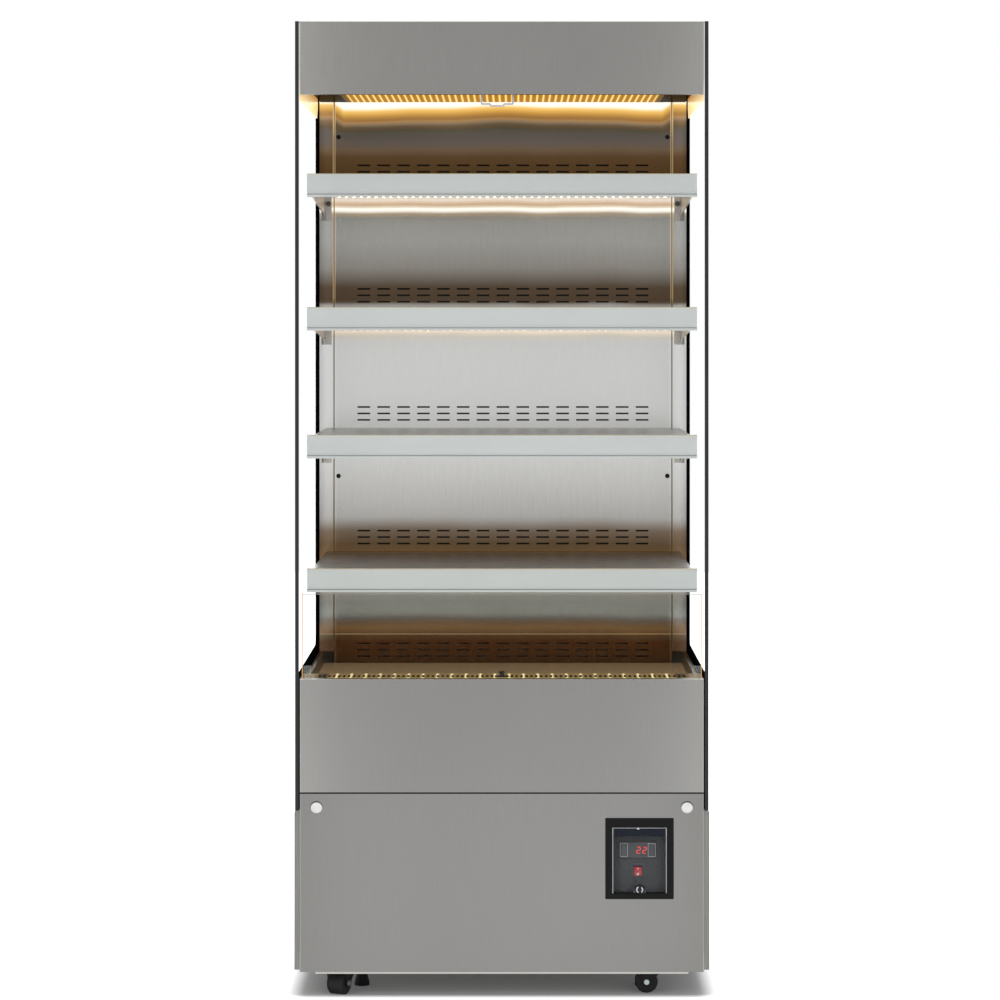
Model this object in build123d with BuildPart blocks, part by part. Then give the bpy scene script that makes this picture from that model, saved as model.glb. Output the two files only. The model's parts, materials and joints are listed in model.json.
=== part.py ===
from build123d import *
import os
from math import cos, radians, sin

# Open-front heated display case, on casters, with its open front towards -Y.
# Heated air is blown from a tank under the deck through slots in the back wall.
# The origin is on the floor under the middle of the case. All sizes are in millimetres.

os.makedirs("parts", exist_ok=True)

# Overall size, over the base side panels, the cover's finger tab and the side glass
case_width = 712.0
case_depth = 650.0
case_height = 1674.0

# Sheet, glass and fits
panel_sheet = 1.2
frame_sheet = 2.0
glass_thickness = 6.0
side_proud = 2.7
side_fit = 0.3
running_fit = 0.05
seat_gap = 0.3
fold_edge = 0.6
glass_edge = 0.5
glass_outer_x = case_width / 2 - side_proud
glass_inner_x = glass_outer_x - glass_thickness
pan_half_width = glass_inner_x - side_fit

# Depths: the front face of the panels and the face of the slotted back wall
tab_proud = 4.0
bezel_proud = 2.0
front_y = -case_depth / 2
rear_y = case_depth / 2
bezel_y = front_y + tab_proud
face_y = bezel_y + bezel_proud
air_duct_depth = 58.0
wall_y = rear_y - air_duct_depth

# Base
pan_bottom = 48.0
pan_height = 30.0
front_fold = 20.0
lip_drop = 7.0
lip_side_gap = 27.0
lip_depth = 10.0
base_side_top = 324.0
base_side_setback = 20.0
base_side_flange = 9.0
base_side_bevel = 6.0
front_side_margin = 10.5
front_panel_width = case_width - 2 * front_side_margin
front_split = 353.8
front_joint = 0.5
front_top = 548.5
cap_hole_diameter = 21.0
cap_edge_gap = 28.5
cap_x = front_panel_width / 2 - cap_edge_gap
cap_drop = 23.8
cap_z = front_split - cap_drop
cap_recess = 1.0
cap_flange = 2.0
cap_flange_thickness = 1.5
louvre_length = 90.0
louvre_height = 5.0
louvre_pitch = 14.0
louvre_rows = 7
louvre_top_rows = 3
louvre_columns = 4
louvre_column_ratio = 1.25
louvre_top_drop = 60.0

# Deck, tank and grille
deck_drop = 33.5
deck_z = front_top - deck_drop
deck_side_gap = 9.0
deck_half_width = pan_half_width - deck_side_gap
deck_fold = 12.0
deck_fold_ends = 10.0
tank_depth = 115.0
tank_floor = deck_z - tank_depth
ledge_gap = 1.0
ledge_width = 16.0
grille_depth = 68.0
grille_top = front_top
grille_drop = 12.0
grille_slot_width = 4.3
grille_slot_length = 40.0
grille_slot_pitch = 8.5
grille_end_margin = 27.0
grille_end_gap = 1.0
grille_overhang = 3.0
grille_slot_count = int(2 * (pan_half_width - grille_end_margin) // grille_slot_pitch)

# Side glass trims and front riser glass
trim_depth = 3.0
trim_inner_margin = 0.2
trim_outer_margin = 0.3
trim_edge = 0.7
riser_height = 146.0
riser_end_gap = 5.3
riser_width = 2 * (glass_inner_x - riser_end_gap)
riser_thickness = 4.0
riser_setback = 4.0
clip_width = 16.0
clip_height = 22.0
clip_depth = 7.0
clip_sheet = 2.5
clip_foot = 3.0
clip_fillet = 3.0
catch_length = 25.0
catch_width = 11.0
catch_corner = 3.0
catch_plate = 1.6
catch_neck_radius = 4.2
catch_neck_height = 6.0
catch_head_radius = 5.6
catch_head_height = 2.2
catch_head_edge = 0.8
catch_x = 0.0

# Back wall and columns
column_width = 26.0
panel_joint = 1.0
panel_fold = 8.0
panel_tail = 44.0
column_outer_x = glass_inner_x - side_fit
column_inner_x = column_outer_x - column_width
panel_half_width = column_inner_x - panel_joint
column_depth = 29.0
column_wall = 1.5
ceiling_drop = 99.0
ceiling_z = case_height - ceiling_drop
slot_length = 24.0
slot_height = 3.2
slot_pitch = 37.6
slot_end_margin = 35.0
slot_count = int(2 * (panel_half_width - slot_end_margin) // slot_pitch)
slot_rows = 3
slot_row_pitch = 12.2
slot_first_rise = 12.0
hook_drops = (14.0, 48.0)
hook_slot_height = 14.0
hook_slot_width = 3.4
plug_diameter = 7.0
plug_head_rim = 0.8
plug_head = 1.2
plug_stem = 3.0
plug_edge = 0.4
plug_side_gap = 9.0
plug_ceiling_drop = 66.0
plug_rail_drop = 94.0

# Canopy
fascia_height = 125.0
fascia_bottom = case_height - fascia_height
fascia_hem = 6.0
fascia_return = 14.0
lid_sheet = 2.0
cheek_height = 136.0
cheek_bottom = case_height - cheek_height
cheek_sheet = 1.5
cheek_front_gap = 1.0
cheek_rear_gap = 98.0
cheek_corner = 20.0
ceiling_half_width = glass_inner_x - side_fit - cheek_sheet - side_fit
ceiling_roller_gap = 12.0
light_end_gap = 45.2
light_width = 2 * (ceiling_half_width - light_end_gap)
light_setback = 8.0
light_flange = 1.5
light_web = 2.0
lid_edge = 0.8
lid_end_gap = 1.0
light_depth = 16.0
light_height = 9.0

# Night curtain
roller_radius = 22.0
roller_setback = 62.0
roller_drop = 52.0
roller_z = case_height - roller_drop
roller_spindle = 5.0
curtain_bracket_sheet = 3.0
curtain_bracket_width = 30.0
curtain_bracket_tail = 14.0
curtain_bracket_flange = 18.0
curtain_end_gap = 7.2
curtain_half_width = ceiling_half_width - curtain_bracket_sheet - curtain_end_gap
sheet_edge_gap = 3.0
curtain_sheet_thickness = 0.5
bar_height = 12.0
bar_depth = 9.0
bar_drop = 120.0
bar_z = case_height - bar_drop
bar_corner = 3.0
handle_wire = 3.0
handle_bend = 1.6
handle_half_width = 27.0
handle_step_half_width = 11.5
handle_drop = 19.0
handle_step = 3.3
handle_x = -8.0

# Shelves: the height of each price rail's top edge, as a share of the way from deck to ceiling
rail_shares = [0.853, 0.6325, 0.4217, 0.201]
rail_tops = [deck_z + share * (ceiling_z - deck_z) for share in rail_shares]
rail_setback = 125.0
rail_end_gap = 6.3
rail_width = 2 * (glass_inner_x - rail_end_gap)
rail_height = 41.0
rail_depth = 12.0
rail_wall = 2.0
rail_lip_height = 5.0
rail_lip_proud = 2.5
rail_lip_edge = 1.0
rail_lip_root = 1.5
rail_clip_height = 14.0
rail_foot_height = 10.0
rail_foot_gap = 3.0
shelf_drop = 3.0
shelf_side_gap = 13.3
shelf_half_width = glass_inner_x - shelf_side_gap
shelf_fold = 20.0
shelf_rear_gap = 6.0
led_end_gap = 29.0
led_channel_width = 2 * (shelf_half_width - led_end_gap)
led_channel_depth = 14.0
led_channel_top_drop = 12.0
led_channel_sheet = 1.0
led_channel_lap = 6.0
led_foot_gap = 1.5
led_drop = rail_height - shelf_drop - led_foot_gap
bracket_web = 2.5
bracket_web_gap = 1.0
bracket_seat = 2.0
bracket_seat_gap = 8.0
bracket_plate_inset = 2.0
bracket_plate_glass_gap = 4.0
bracket_top_drop = 4.0
bracket_nose = 6.0
bracket_nose_length = 30.0
bracket_root_length = 60.0
bracket_root_rise = 12.0
bracket_column_gap = 1.0
bracket_inner_x = column_inner_x + bracket_column_gap
bracket_rear_height = 66.0
bracket_front_height = 16.0
bracket_front_setback = 40.0
bracket_end_plate = 2.5
screw_diameter = 5.0
screw_head_diameter = 9.6
screw_head = 2.6
screw_reach = 6.0
screw_edge = 0.8
screw_drop = 33.4
screw_web_gap = 0.4
hook_reach = 6.0
hook_thickness = 2.6
hook_height = 11.0
hook_root = 3.0

# Control box on the lower front panel, seen from the front
control_edge_gap = 110.0
control_drop = 111.6
control_x = front_panel_width / 2 - control_edge_gap
control_z = front_split - control_drop
bezel_width = 117.0
bezel_height = 138.5
bezel_corner = 1.5
bezel_edge = 0.7
control_floor_depth = 17.0
control_floor = 2.5
control_wall = 6.0
window_width = 93.8
window_below = 59.8
window_above = 54.0
window_bottom = control_z - window_below
window_top = control_z + window_above
cover_thickness = 2.0
cover_side_gap = 0.5
cover_bottom_gap = 0.6
cover_hinge_radius = 2.4
cover_hinge_drop = 3.6
cover_pin_radius = 1.2
cover_pin_length = 3.0
tab_radius = 11.5
tab_rise = 4.0
tab_taper = 18.0
controller_shift = 2.5
controller_rise = 12.5
controller_x = control_x - controller_shift
controller_z = control_z + controller_rise
controller_width = 61.0
controller_height = 27.5
controller_depth = 30.0
controller_proud = 3.0
controller_corner = 2.0
controller_flange_x = 3.0
controller_flange_z = 2.0
readout_width = 32.0
readout_height = 21.0
readout_depth = 0.8
key_width = 10.0
key_height = 19.0
key_offset = 24.0
key_thickness = 2.4
key_proud = 0.9
key_side_gap = 0.2
key_rear_gap = 0.2
key_corner = 1.0
key_edge = 0.4
key_travel = 0.6
rocker_shift = 2.2
rocker_drop = 23.6
rocker_x = control_x - rocker_shift
rocker_z = control_z - rocker_drop
rocker_width = 13.0
rocker_height = 17.0
rocker_depth = 9.0
rocker_tilt = 7.0
rocker_frame_width = 26.0
rocker_frame_height = 29.0
rocker_frame_proud = 1.5
rocker_pin_radius = 1.0
rocker_side_gap = 0.25
rocker_end_gap = 0.7
rocker_pin_reach = 2.0
rocker_horn = 4.4
rocker_dip = 3.4
rocker_shoulder = 1.0
rocker_end_land = 0.4
rocker_tail = 4.0

# Casters and levelling feet
wheel_diameter = 39.0
wheel_width = 30.0
wheel_bore = 4.0
caster_side_gap = 75.0
caster_end_gap = 80.0
caster_x = pan_half_width - caster_side_gap
caster_y = rear_y - caster_end_gap
caster_trail = 22.0
caster_plate_thickness = 3.0
caster_plate_length = 62.0
caster_plate_width = 50.0
race_radius = 15.0
race_height = 2.2
caster_plate_corner = 5.0
wheel_edge = 2.0
crown_thickness = 2.0
crown_margin = 13.0
crown_corner = 7.0
fork_lobe = 7.0
fork_front = 6.0
fork_rear = 11.0
king_pin_end_gap = 0.5
cheek_plate = 2.5
cheek_gap = 0.9
king_pin_radius = 4.0
axle_bolt_radius = 4.5
axle_bolt_head = 2.5
foot_side_gap = 27.0
foot_caster_gap = 55.0
foot_x = caster_x - foot_side_gap
foot_y = foot_caster_gap - caster_y
foot_pad_radius = 13.0
foot_pad_height = 23.0
foot_rim_height = 5.0
foot_waist_inset = 3.0
foot_waist_drop = 6.0
foot_neck_inset = 5.0
foot_rod_radius = 4.0
foot_rod_top = 92.0
foot_nut_radius = 7.5
foot_nut_height = 6.5
weld_nut_radius = 10.5
weld_nut_height = 13.0

# Blower, heater and supply, inside the tank and the base
blower_side_gap = 167.0
blower_length = 2 * (pan_half_width - blower_side_gap)
blower_radius = 28.0
blower_rear_gap = 97.0
blower_rise = 56.0
blower_y = wall_y - blower_rear_gap
blower_z = tank_floor + blower_rise
blower_blades = 16
blower_blade_angle = 35.0
blower_blade_depth = 8.0
blower_blade_thickness = 1.2
blower_shaft_radius = 4.0
blower_end_disc = 3.0
blower_end_plate = 2.0
blower_end_gap = 2.0
blower_scroll_gap = 7.0
heater_radius = 4.0
heater_end_gap = 134.0
heater_length = 2 * pan_half_width - heater_end_gap
heater_bend = 18.0
heater_rod_sides = 8
heater_rise = 45.0
heater_z = tank_floor + heater_rise
heater_setback = 169.0
heater_pitch = 90.0
heater_rows_y = [face_y + heater_setback, face_y + heater_setback + heater_pitch]
heater_clip_setback = 60.0
heater_clip_margin = 9.0
heater_clip_thickness = 3.0
supply_width = 180.0
supply_depth = 110.0
supply_height = 55.0
supply_edge = 3.0
supply_side_gap = 197.0
supply_rear_gap = 175.0
supply_x = supply_side_gap - pan_half_width
supply_y = rear_y - supply_rear_gap
gland_radius = 11.0
gland_bore = 4.5
gland_hex_height = 6.0
gland_thread = 3.0
gland_side_gap = 57.0
gland_rise = 82.0
gland_x = gland_side_gap - pan_half_width
gland_z = pan_bottom + gland_rise

# Values worked out from the sizes above
pan_front_y = face_y + front_fold
tank_half_width = pan_half_width
tank_front_y = pan_front_y
tank_rear_y = wall_y - seat_gap
lid_bottom = case_height - lid_sheet
control_floor_y = bezel_y + control_floor_depth
shelf_tops = [top - shelf_drop for top in rail_tops]
rail_y = face_y + rail_setback
shelf_front_y = rail_y + rail_depth
shelf_rear_y = wall_y - shelf_rear_gap
column_rear_y = wall_y + column_depth
roller_y = face_y + roller_setback
curtain_y = roller_y - roller_radius - curtain_sheet_thickness


def block(xs, ys, zs, mode=Mode.ADD):
    """A block between a low and a high value on each axis, in the piece being built."""
    centre = ((xs[0] + xs[1]) / 2, (ys[0] + ys[1]) / 2, (zs[0] + zs[1]) / 2)
    with Locations(centre):
        Box(xs[1] - xs[0], ys[1] - ys[0], zs[1] - zs[0], mode=mode)


# Base frame: a folded pan that carries the casters, with a stiffening lip under its front
foot_places = [(-foot_x, foot_y), (foot_x, foot_y)]
with BuildPart() as base_frame:
    block((-pan_half_width, pan_half_width), (pan_front_y, rear_y - panel_sheet),
          (pan_bottom, pan_bottom + pan_height))
    offset(amount=-frame_sheet, openings=base_frame.faces().sort_by(Axis.Z)[-1])
    block((lip_side_gap - pan_half_width, pan_half_width - lip_side_gap), (pan_front_y, pan_front_y + lip_depth),
          (pan_bottom - lip_drop, pan_bottom))
    with BuildSketch(Plane.XY.offset(pan_bottom + frame_sheet)):
        with Locations(*foot_places):
            RegularPolygon(weld_nut_radius, 6)
    extrude(amount=weld_nut_height)
    with BuildSketch(Plane.XY.offset(pan_bottom)):
        with Locations(*foot_places):
            Circle(foot_rod_radius + running_fit)
    extrude(amount=pan_height, mode=Mode.SUBTRACT)
base_frame.part.label = "base_frame"
export_step(base_frame.part, "parts/base_frame.step")

# Lower front panel: a shallow tray, folded back all round, cut out for the control box
front_plane = Plane.XZ.offset(-face_y)
with BuildPart() as lower_front_panel:
    with BuildSketch(front_plane):
        with Locations((0, (pan_bottom + front_split) / 2)):
            Rectangle(front_panel_width, front_split - pan_bottom)
    extrude(amount=-front_fold)
    offset(amount=-panel_sheet, openings=lower_front_panel.faces().sort_by(Axis.Y)[-1])
    with BuildSketch(front_plane):
        with Locations((control_x, control_z)):
            Rectangle(bezel_width - 2 * control_wall, bezel_height - 2 * control_wall)
        with Locations((-cap_x, cap_z), (cap_x, cap_z)):
            Circle(cap_hole_diameter / 2)
    extrude(amount=-2 * panel_sheet, mode=Mode.SUBTRACT)
    chamfer(lower_front_panel.faces().sort_by(Axis.Y)[0].outer_wire().edges(), fold_edge)
lower_front_panel.part.label = "lower_front_panel"
export_step(lower_front_panel.part, "parts/lower_front_panel.step")

# Plastic caps that press into the two screw holes of the lower front panel
with BuildPart() as panel_caps:
    with BuildSketch(Plane.XZ.offset(-face_y - cap_recess)):
        with Locations((-cap_x, cap_z), (cap_x, cap_z)):
            Circle(cap_hole_diameter / 2 - side_fit)
    extrude(amount=-(front_fold - cap_recess - panel_sheet))
    chamfer(panel_caps.faces().filter_by(Axis.Y).group_by(Axis.Y)[0].edges(), fold_edge)
    with BuildSketch(Plane.XZ.offset(-face_y - panel_sheet)):
        with Locations((-cap_x, cap_z), (cap_x, cap_z)):
            Circle(cap_hole_diameter / 2 + cap_flange)
    extrude(amount=-cap_flange_thickness)
panel_caps.part.label = "panel_caps"
export_step(panel_caps.part, "parts/panel_caps.step")

# Upper front panel: folded back at the sides, with a top edge that is turned back and down
with BuildPart() as upper_front_panel:
    with BuildSketch(front_plane):
        with Locations((0, (front_split + front_joint + front_top) / 2)):
            Rectangle(front_panel_width, front_top - front_split - front_joint)
    extrude(amount=-front_fold)
    offset(amount=-panel_sheet, openings=upper_front_panel.faces().sort_by(Axis.Y)[-1])
    chamfer(upper_front_panel.faces().sort_by(Axis.Y)[0].outer_wire().edges(), fold_edge)
upper_front_panel.part.label = "upper_front_panel"
export_step(upper_front_panel.part, "parts/upper_front_panel.step")

# Base side panels: sheet folded inwards all round, with a bevel along the top
side_front_y = face_y + base_side_setback
side_outer = case_width / 2
side_inner = side_outer - base_side_flange
with BuildPart() as base_sides:
    with BuildSketch(Plane.XZ.offset(-side_front_y)):
        with BuildLine():
            Polyline((side_inner, pan_bottom), (side_outer, pan_bottom),
                     (side_outer, base_side_top - base_side_bevel),
                     (side_outer - base_side_bevel / 2, base_side_top),
                     (side_inner, base_side_top), close=True)
        make_face()
    extrude(amount=-(rear_y - panel_sheet - side_front_y))
    offset(amount=-panel_sheet, openings=base_sides.faces().sort_by(Axis.X)[0])
    mirror(about=Plane.YZ)
base_sides.part.label = "base_sides"
export_step(base_sides.part, "parts/base_sides.step")

# Rear panel of the base, with louvred rows and the hole of the cable gland
with BuildPart() as base_rear_panel:
    block((-pan_half_width, pan_half_width), (rear_y - panel_sheet, rear_y),
          (pan_bottom, base_side_top))
    with BuildSketch(Plane.XZ.offset(-rear_y)):
        with Locations((0, (pan_bottom + base_side_top) / 2)):
            with GridLocations(louvre_length * louvre_column_ratio, louvre_pitch,
                               louvre_columns, louvre_rows):
                Rectangle(louvre_length, louvre_height)
        with Locations((gland_x, gland_z)):
            Circle(gland_radius - gland_thread + running_fit)
    extrude(amount=panel_sheet, mode=Mode.SUBTRACT)
base_rear_panel.part.label = "base_rear_panel"
export_step(base_rear_panel.part, "parts/base_rear_panel.step")

# Cable gland in the base rear panel, screwed up against both faces of the sheet
with BuildPart() as cable_gland:
    with BuildSketch(Plane.XZ.offset(-(rear_y - panel_sheet))):
        with Locations((gland_x, gland_z)):
            RegularPolygon(gland_radius, 6)
    extrude(amount=gland_hex_height)
    with BuildSketch(Plane.XZ.offset(-(rear_y - panel_sheet))):
        with Locations((gland_x, gland_z)):
            Circle(gland_radius - gland_thread)
    extrude(amount=-panel_sheet)
    with BuildSketch(Plane.XZ.offset(-(rear_y - panel_sheet) + gland_hex_height)):
        with Locations((gland_x, gland_z)):
            Circle(gland_radius - gland_thread)
    extrude(amount=gland_hex_height)
    with BuildSketch(Plane.XZ.offset(-rear_y)):
        with Locations((gland_x, gland_z)):
            Circle(gland_bore)
    extrude(amount=panel_sheet + 2 * gland_hex_height, mode=Mode.SUBTRACT)
cable_gland.part.label = "cable_gland"
export_step(cable_gland.part, "parts/cable_gland.step")

# Air tank: an open tub under the deck, with ledges that carry the deck and the grille
ledge_top = deck_z - panel_sheet
grille_rear_y = tank_front_y + grille_depth
with BuildPart() as air_tank:
    block((-tank_half_width, tank_half_width), (tank_front_y, tank_rear_y),
          (tank_floor, ledge_top))
    offset(amount=-panel_sheet, openings=air_tank.faces().sort_by(Axis.Z)[-1])
    for side in (-1, 1):
        ledge = sorted((side * tank_half_width, side * (tank_half_width - ledge_width)))
        upstand = sorted((side * tank_half_width, side * (deck_half_width + ledge_gap)))
        block(ledge, (tank_front_y, tank_rear_y), (ledge_top - panel_sheet, ledge_top))
        block(upstand, (tank_front_y, tank_rear_y), (ledge_top, grille_top - grille_drop))
    block((-tank_half_width, tank_half_width), (tank_rear_y - ledge_width, tank_rear_y),
          (ledge_top - panel_sheet, ledge_top))
air_tank.part.label = "air_tank"
export_step(air_tank.part, "parts/air_tank.step")

# Deck panel: a lift-out tray, folded down at the rear and up at its front
deck_rear_y = wall_y - shelf_rear_gap
deck_front_y = grille_rear_y + ledge_gap
with BuildPart() as deck_panel:
    with BuildSketch(Plane.YZ.offset(-deck_half_width)):
        with BuildLine():
            Polyline((deck_front_y, grille_top - grille_drop), (deck_front_y, ledge_top),
                     (deck_rear_y, ledge_top), (deck_rear_y, deck_z),
                     (deck_front_y + panel_sheet, deck_z),
                     (deck_front_y + panel_sheet, grille_top - grille_drop), close=True)
        make_face()
    extrude(amount=2 * deck_half_width)
    for side in (-1, 1):
        fold = side * (tank_half_width - ledge_width - ledge_gap)
        block(sorted((fold, fold - side * panel_sheet)),
              (deck_front_y + deck_fold_ends, deck_rear_y - ledge_width - deck_fold_ends),
              (ledge_top - deck_fold, ledge_top))
deck_panel.part.label = "deck_panel"
export_step(deck_panel.part, "parts/deck_panel.step")

# Front grille: slotted cover of the air outlet, standing on the upstands and the deck's wall
with BuildPart() as front_grille:
    grille_front_y = tank_front_y + seat_gap
    block((grille_end_gap - tank_half_width, tank_half_width - grille_end_gap),
          (grille_front_y, grille_rear_y + grille_overhang),
          (grille_top - grille_drop, grille_top))
    offset(amount=-panel_sheet, openings=front_grille.faces().sort_by(Axis.Z)[0])
    with BuildSketch(Plane.XY.offset(grille_top)):
        with Locations((0, (grille_front_y + grille_rear_y) / 2)):
            with GridLocations(grille_slot_pitch, 1, grille_slot_count, 1):
                Rectangle(grille_slot_width, grille_slot_length)
    extrude(amount=-2 * panel_sheet, mode=Mode.SUBTRACT)
front_grille.part.label = "front_grille"
export_step(front_grille.part, "parts/front_grille.step")

# Riser glass: a low clear guard that stands on the top edge of the upper front panel
riser_y = face_y + riser_setback
with BuildPart() as riser_glass:
    block((-riser_width / 2, riser_width / 2), (riser_y, riser_y + riser_thickness),
          (front_top, front_top + riser_height))
    chamfer(riser_glass.edges().filter_by(Axis.X), glass_edge)
riser_glass.part.label = "riser_glass"
export_step(riser_glass.part, "parts/riser_glass.step")

# Clear clips that hold the riser glass at its bottom corners, behind the glass
with BuildPart() as riser_clips:
    for side in (-1, 1):
        edge = side * riser_width / 2
        with BuildSketch(Plane.YZ.offset(min(edge, edge - side * clip_width))):
            with BuildLine():
                rear = riser_y + riser_thickness
                Polyline((rear, front_top), (rear + clip_depth, front_top),
                         (rear + clip_depth, front_top + clip_foot),
                         (rear + clip_sheet, front_top + clip_foot + clip_fillet),
                         (rear + clip_sheet, front_top + clip_height), (rear, front_top + clip_height),
                         close=True)
            make_face()
        extrude(amount=clip_width)
riser_clips.part.label = "riser_clips"
export_step(riser_clips.part, "parts/riser_clips.step")

# Catch of the night curtain: a black peg on a small plate at the middle of the grille
with BuildPart() as curtain_catch:
    with BuildSketch(Plane.XY.offset(grille_top)):
        with Locations((catch_x, curtain_y)):
            RectangleRounded(catch_length, catch_width, catch_corner)
    extrude(amount=catch_plate)
    with BuildSketch(Plane.XY.offset(grille_top + catch_plate)):
        with Locations((catch_x, curtain_y)):
            Circle(catch_neck_radius)
    extrude(amount=catch_neck_height)
    with BuildSketch(Plane.XY.offset(grille_top + catch_plate + catch_neck_height)):
        with Locations((catch_x, curtain_y)):
            Circle(catch_head_radius)
    extrude(amount=catch_head_height)
    chamfer(curtain_catch.faces().sort_by(Axis.Z)[-1].edges(), catch_head_edge)
curtain_catch.part.label = "curtain_catch"
export_step(curtain_catch.part, "parts/curtain_catch.step")

# Side glass: full-depth panes that stand on the base side panels
glass_front_y = face_y + trim_depth
with BuildPart() as side_glass:
    block((glass_inner_x, glass_outer_x), (glass_front_y, rear_y), (base_side_top, case_height))
    chamfer(side_glass.faces().sort_by(Axis.Z)[-1].edges(), glass_edge)
    mirror(about=Plane.YZ)
side_glass.part.label = "side_glass"
export_step(side_glass.part, "parts/side_glass.step")

# Trims: black strips on the front edges of the side glass
with BuildPart() as glass_trims:
    for side in (-1, 1):
        block(sorted((side * (glass_inner_x - trim_inner_margin), side * (glass_outer_x + trim_outer_margin))),
              (face_y, glass_front_y), (base_side_top, case_height))
    trim_fronts = glass_trims.faces().filter_by(Axis.Y).group_by(Axis.Y)[0]
    chamfer(trim_fronts.edges().filter_by(Axis.Z), trim_edge)
glass_trims.part.label = "glass_trims"
export_step(glass_trims.part, "parts/glass_trims.step")

# Back columns: channel uprights with the slots that take the shelf brackets
hook_slot_x = (column_inner_x + column_outer_x) / 2
screw_x = shelf_half_width + bracket_web_gap - screw_web_gap - screw_head_diameter / 2
screw_places = [(side * screw_x, top - screw_drop) for top in shelf_tops for side in (-1, 1)]
with BuildPart() as back_columns:
    for side in (-1, 1):
        with BuildSketch(Plane.XY.offset(grille_top - grille_drop)):
            low, high = sorted((side * column_inner_x, side * column_outer_x))
            with Locations(((low + high) / 2, wall_y + column_depth / 2)):
                Rectangle(high - low, column_depth)
            with Locations(((low + high) / 2, wall_y + (column_depth + column_wall) / 2)):
                Rectangle(high - low - 2 * column_wall, column_depth - column_wall,
                          mode=Mode.SUBTRACT)
        extrude(amount=lid_bottom - grille_top + grille_drop)
    with BuildSketch(Plane.XZ.offset(-wall_y)):
        for top in shelf_tops:
            for side in (-1, 1):
                with Locations(*[(side * hook_slot_x, top - drop) for drop in hook_drops]):
                    Rectangle(hook_slot_width, hook_slot_height)
        for x, z in screw_places:
            with Locations((x, z)):
                Circle(screw_diameter / 2 + running_fit)
    extrude(amount=-column_wall, mode=Mode.SUBTRACT)
back_columns.part.label = "back_columns"
export_step(back_columns.part, "parts/back_columns.step")

# Slotted back panel: three rows of air slots above the deck and above every shelf
plug_heights = (ceiling_z - plug_ceiling_drop, rail_tops[2] - plug_rail_drop)
plug_places = [(side * (panel_half_width - plug_side_gap), z) for z in plug_heights for side in (-1, 1)]
with BuildPart() as slotted_back_panel:
    with BuildSketch(Plane.XY.offset(grille_top - panel_tail)):
        with BuildLine():
            Polyline((-panel_half_width, wall_y), (panel_half_width, wall_y),
                     (panel_half_width, wall_y + panel_fold),
                     (panel_half_width - panel_sheet, wall_y + panel_fold),
                     (panel_half_width - panel_sheet, wall_y + panel_sheet),
                     (-panel_half_width + panel_sheet, wall_y + panel_sheet),
                     (-panel_half_width + panel_sheet, wall_y + panel_fold),
                     (-panel_half_width, wall_y + panel_fold), close=True)
        make_face()
    extrude(amount=ceiling_z - grille_top + panel_tail)
    with BuildSketch(Plane.XZ.offset(-wall_y)):
        for level in [deck_z] + rail_tops:
            first_row = level + slot_first_rise
            with Locations((0, first_row + (slot_rows - 1) * slot_row_pitch / 2)):
                with GridLocations(slot_pitch, slot_row_pitch, slot_count, slot_rows):
                    Rectangle(slot_length, slot_height)
        for x, z in plug_places:
            with Locations((x, z)):
                Circle(plug_diameter / 2 + running_fit)
    extrude(amount=-2 * panel_sheet, mode=Mode.SUBTRACT)
slotted_back_panel.part.label = "slotted_back_panel"
export_step(slotted_back_panel.part, "parts/slotted_back_panel.step")

# Wall plugs: black plugs pressed into the back panel's spare screw holes
with BuildPart() as wall_plugs:
    for x, z in plug_places:
        with Locations(Plane(origin=(x, wall_y, z), z_dir=(0, -1, 0))):
            Cylinder(plug_diameter / 2 + plug_head_rim, plug_head,
                     align=(Align.CENTER, Align.CENTER, Align.MIN))
            Cylinder(plug_diameter / 2, plug_stem, align=(Align.CENTER, Align.CENTER, Align.MAX))
    plug_fronts = wall_plugs.faces().filter_by(Axis.Y).group_by(Axis.Y)[0]
    chamfer(plug_fronts.edges(), plug_edge)
wall_plugs.part.label = "wall_plugs"
export_step(wall_plugs.part, "parts/wall_plugs.step")

# Rear casing: the outer back of the air duct, folded forwards to the columns
with BuildPart() as rear_casing:
    with BuildSketch(Plane.XY.offset(base_side_top)):
        with BuildLine():
            Polyline((-pan_half_width, column_rear_y), (-pan_half_width, rear_y),
                     (pan_half_width, rear_y), (pan_half_width, column_rear_y),
                     (pan_half_width - panel_sheet, column_rear_y),
                     (pan_half_width - panel_sheet, rear_y - panel_sheet),
                     (-pan_half_width + panel_sheet, rear_y - panel_sheet),
                     (-pan_half_width + panel_sheet, column_rear_y), close=True)
        make_face()
    extrude(amount=lid_bottom - base_side_top)
    with BuildSketch(Plane.XZ.offset(-rear_y)):
        with Locations((0, lid_bottom - louvre_top_drop)):
            with GridLocations(louvre_length * louvre_column_ratio, louvre_pitch,
                               louvre_columns, louvre_top_rows):
                Rectangle(louvre_length, louvre_height)
    extrude(amount=panel_sheet, mode=Mode.SUBTRACT)
rear_casing.part.label = "rear_casing"
export_step(rear_casing.part, "parts/rear_casing.step")

# Canopy fascia: folded back at its top and bottom edges
with BuildPart() as canopy_fascia:
    fascia_half_width = front_panel_width / 2
    with BuildSketch(Plane.YZ.offset(-fascia_half_width)):
        with BuildLine():
            inner_y = face_y + panel_sheet
            Polyline((face_y, fascia_bottom), (face_y + fascia_return, fascia_bottom),
                     (face_y + fascia_return, fascia_bottom + fascia_hem),
                     (face_y + fascia_return - panel_sheet, fascia_bottom + fascia_hem),
                     (face_y + fascia_return - panel_sheet, fascia_bottom + panel_sheet),
                     (inner_y, fascia_bottom + panel_sheet), (inner_y, lid_bottom - panel_sheet),
                     (face_y + fascia_return, lid_bottom - panel_sheet),
                     (face_y + fascia_return, lid_bottom), (face_y, lid_bottom), close=True)
        make_face()
    extrude(amount=2 * fascia_half_width)
canopy_fascia.part.label = "canopy_fascia"
export_step(canopy_fascia.part, "parts/canopy_fascia.step")

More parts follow.
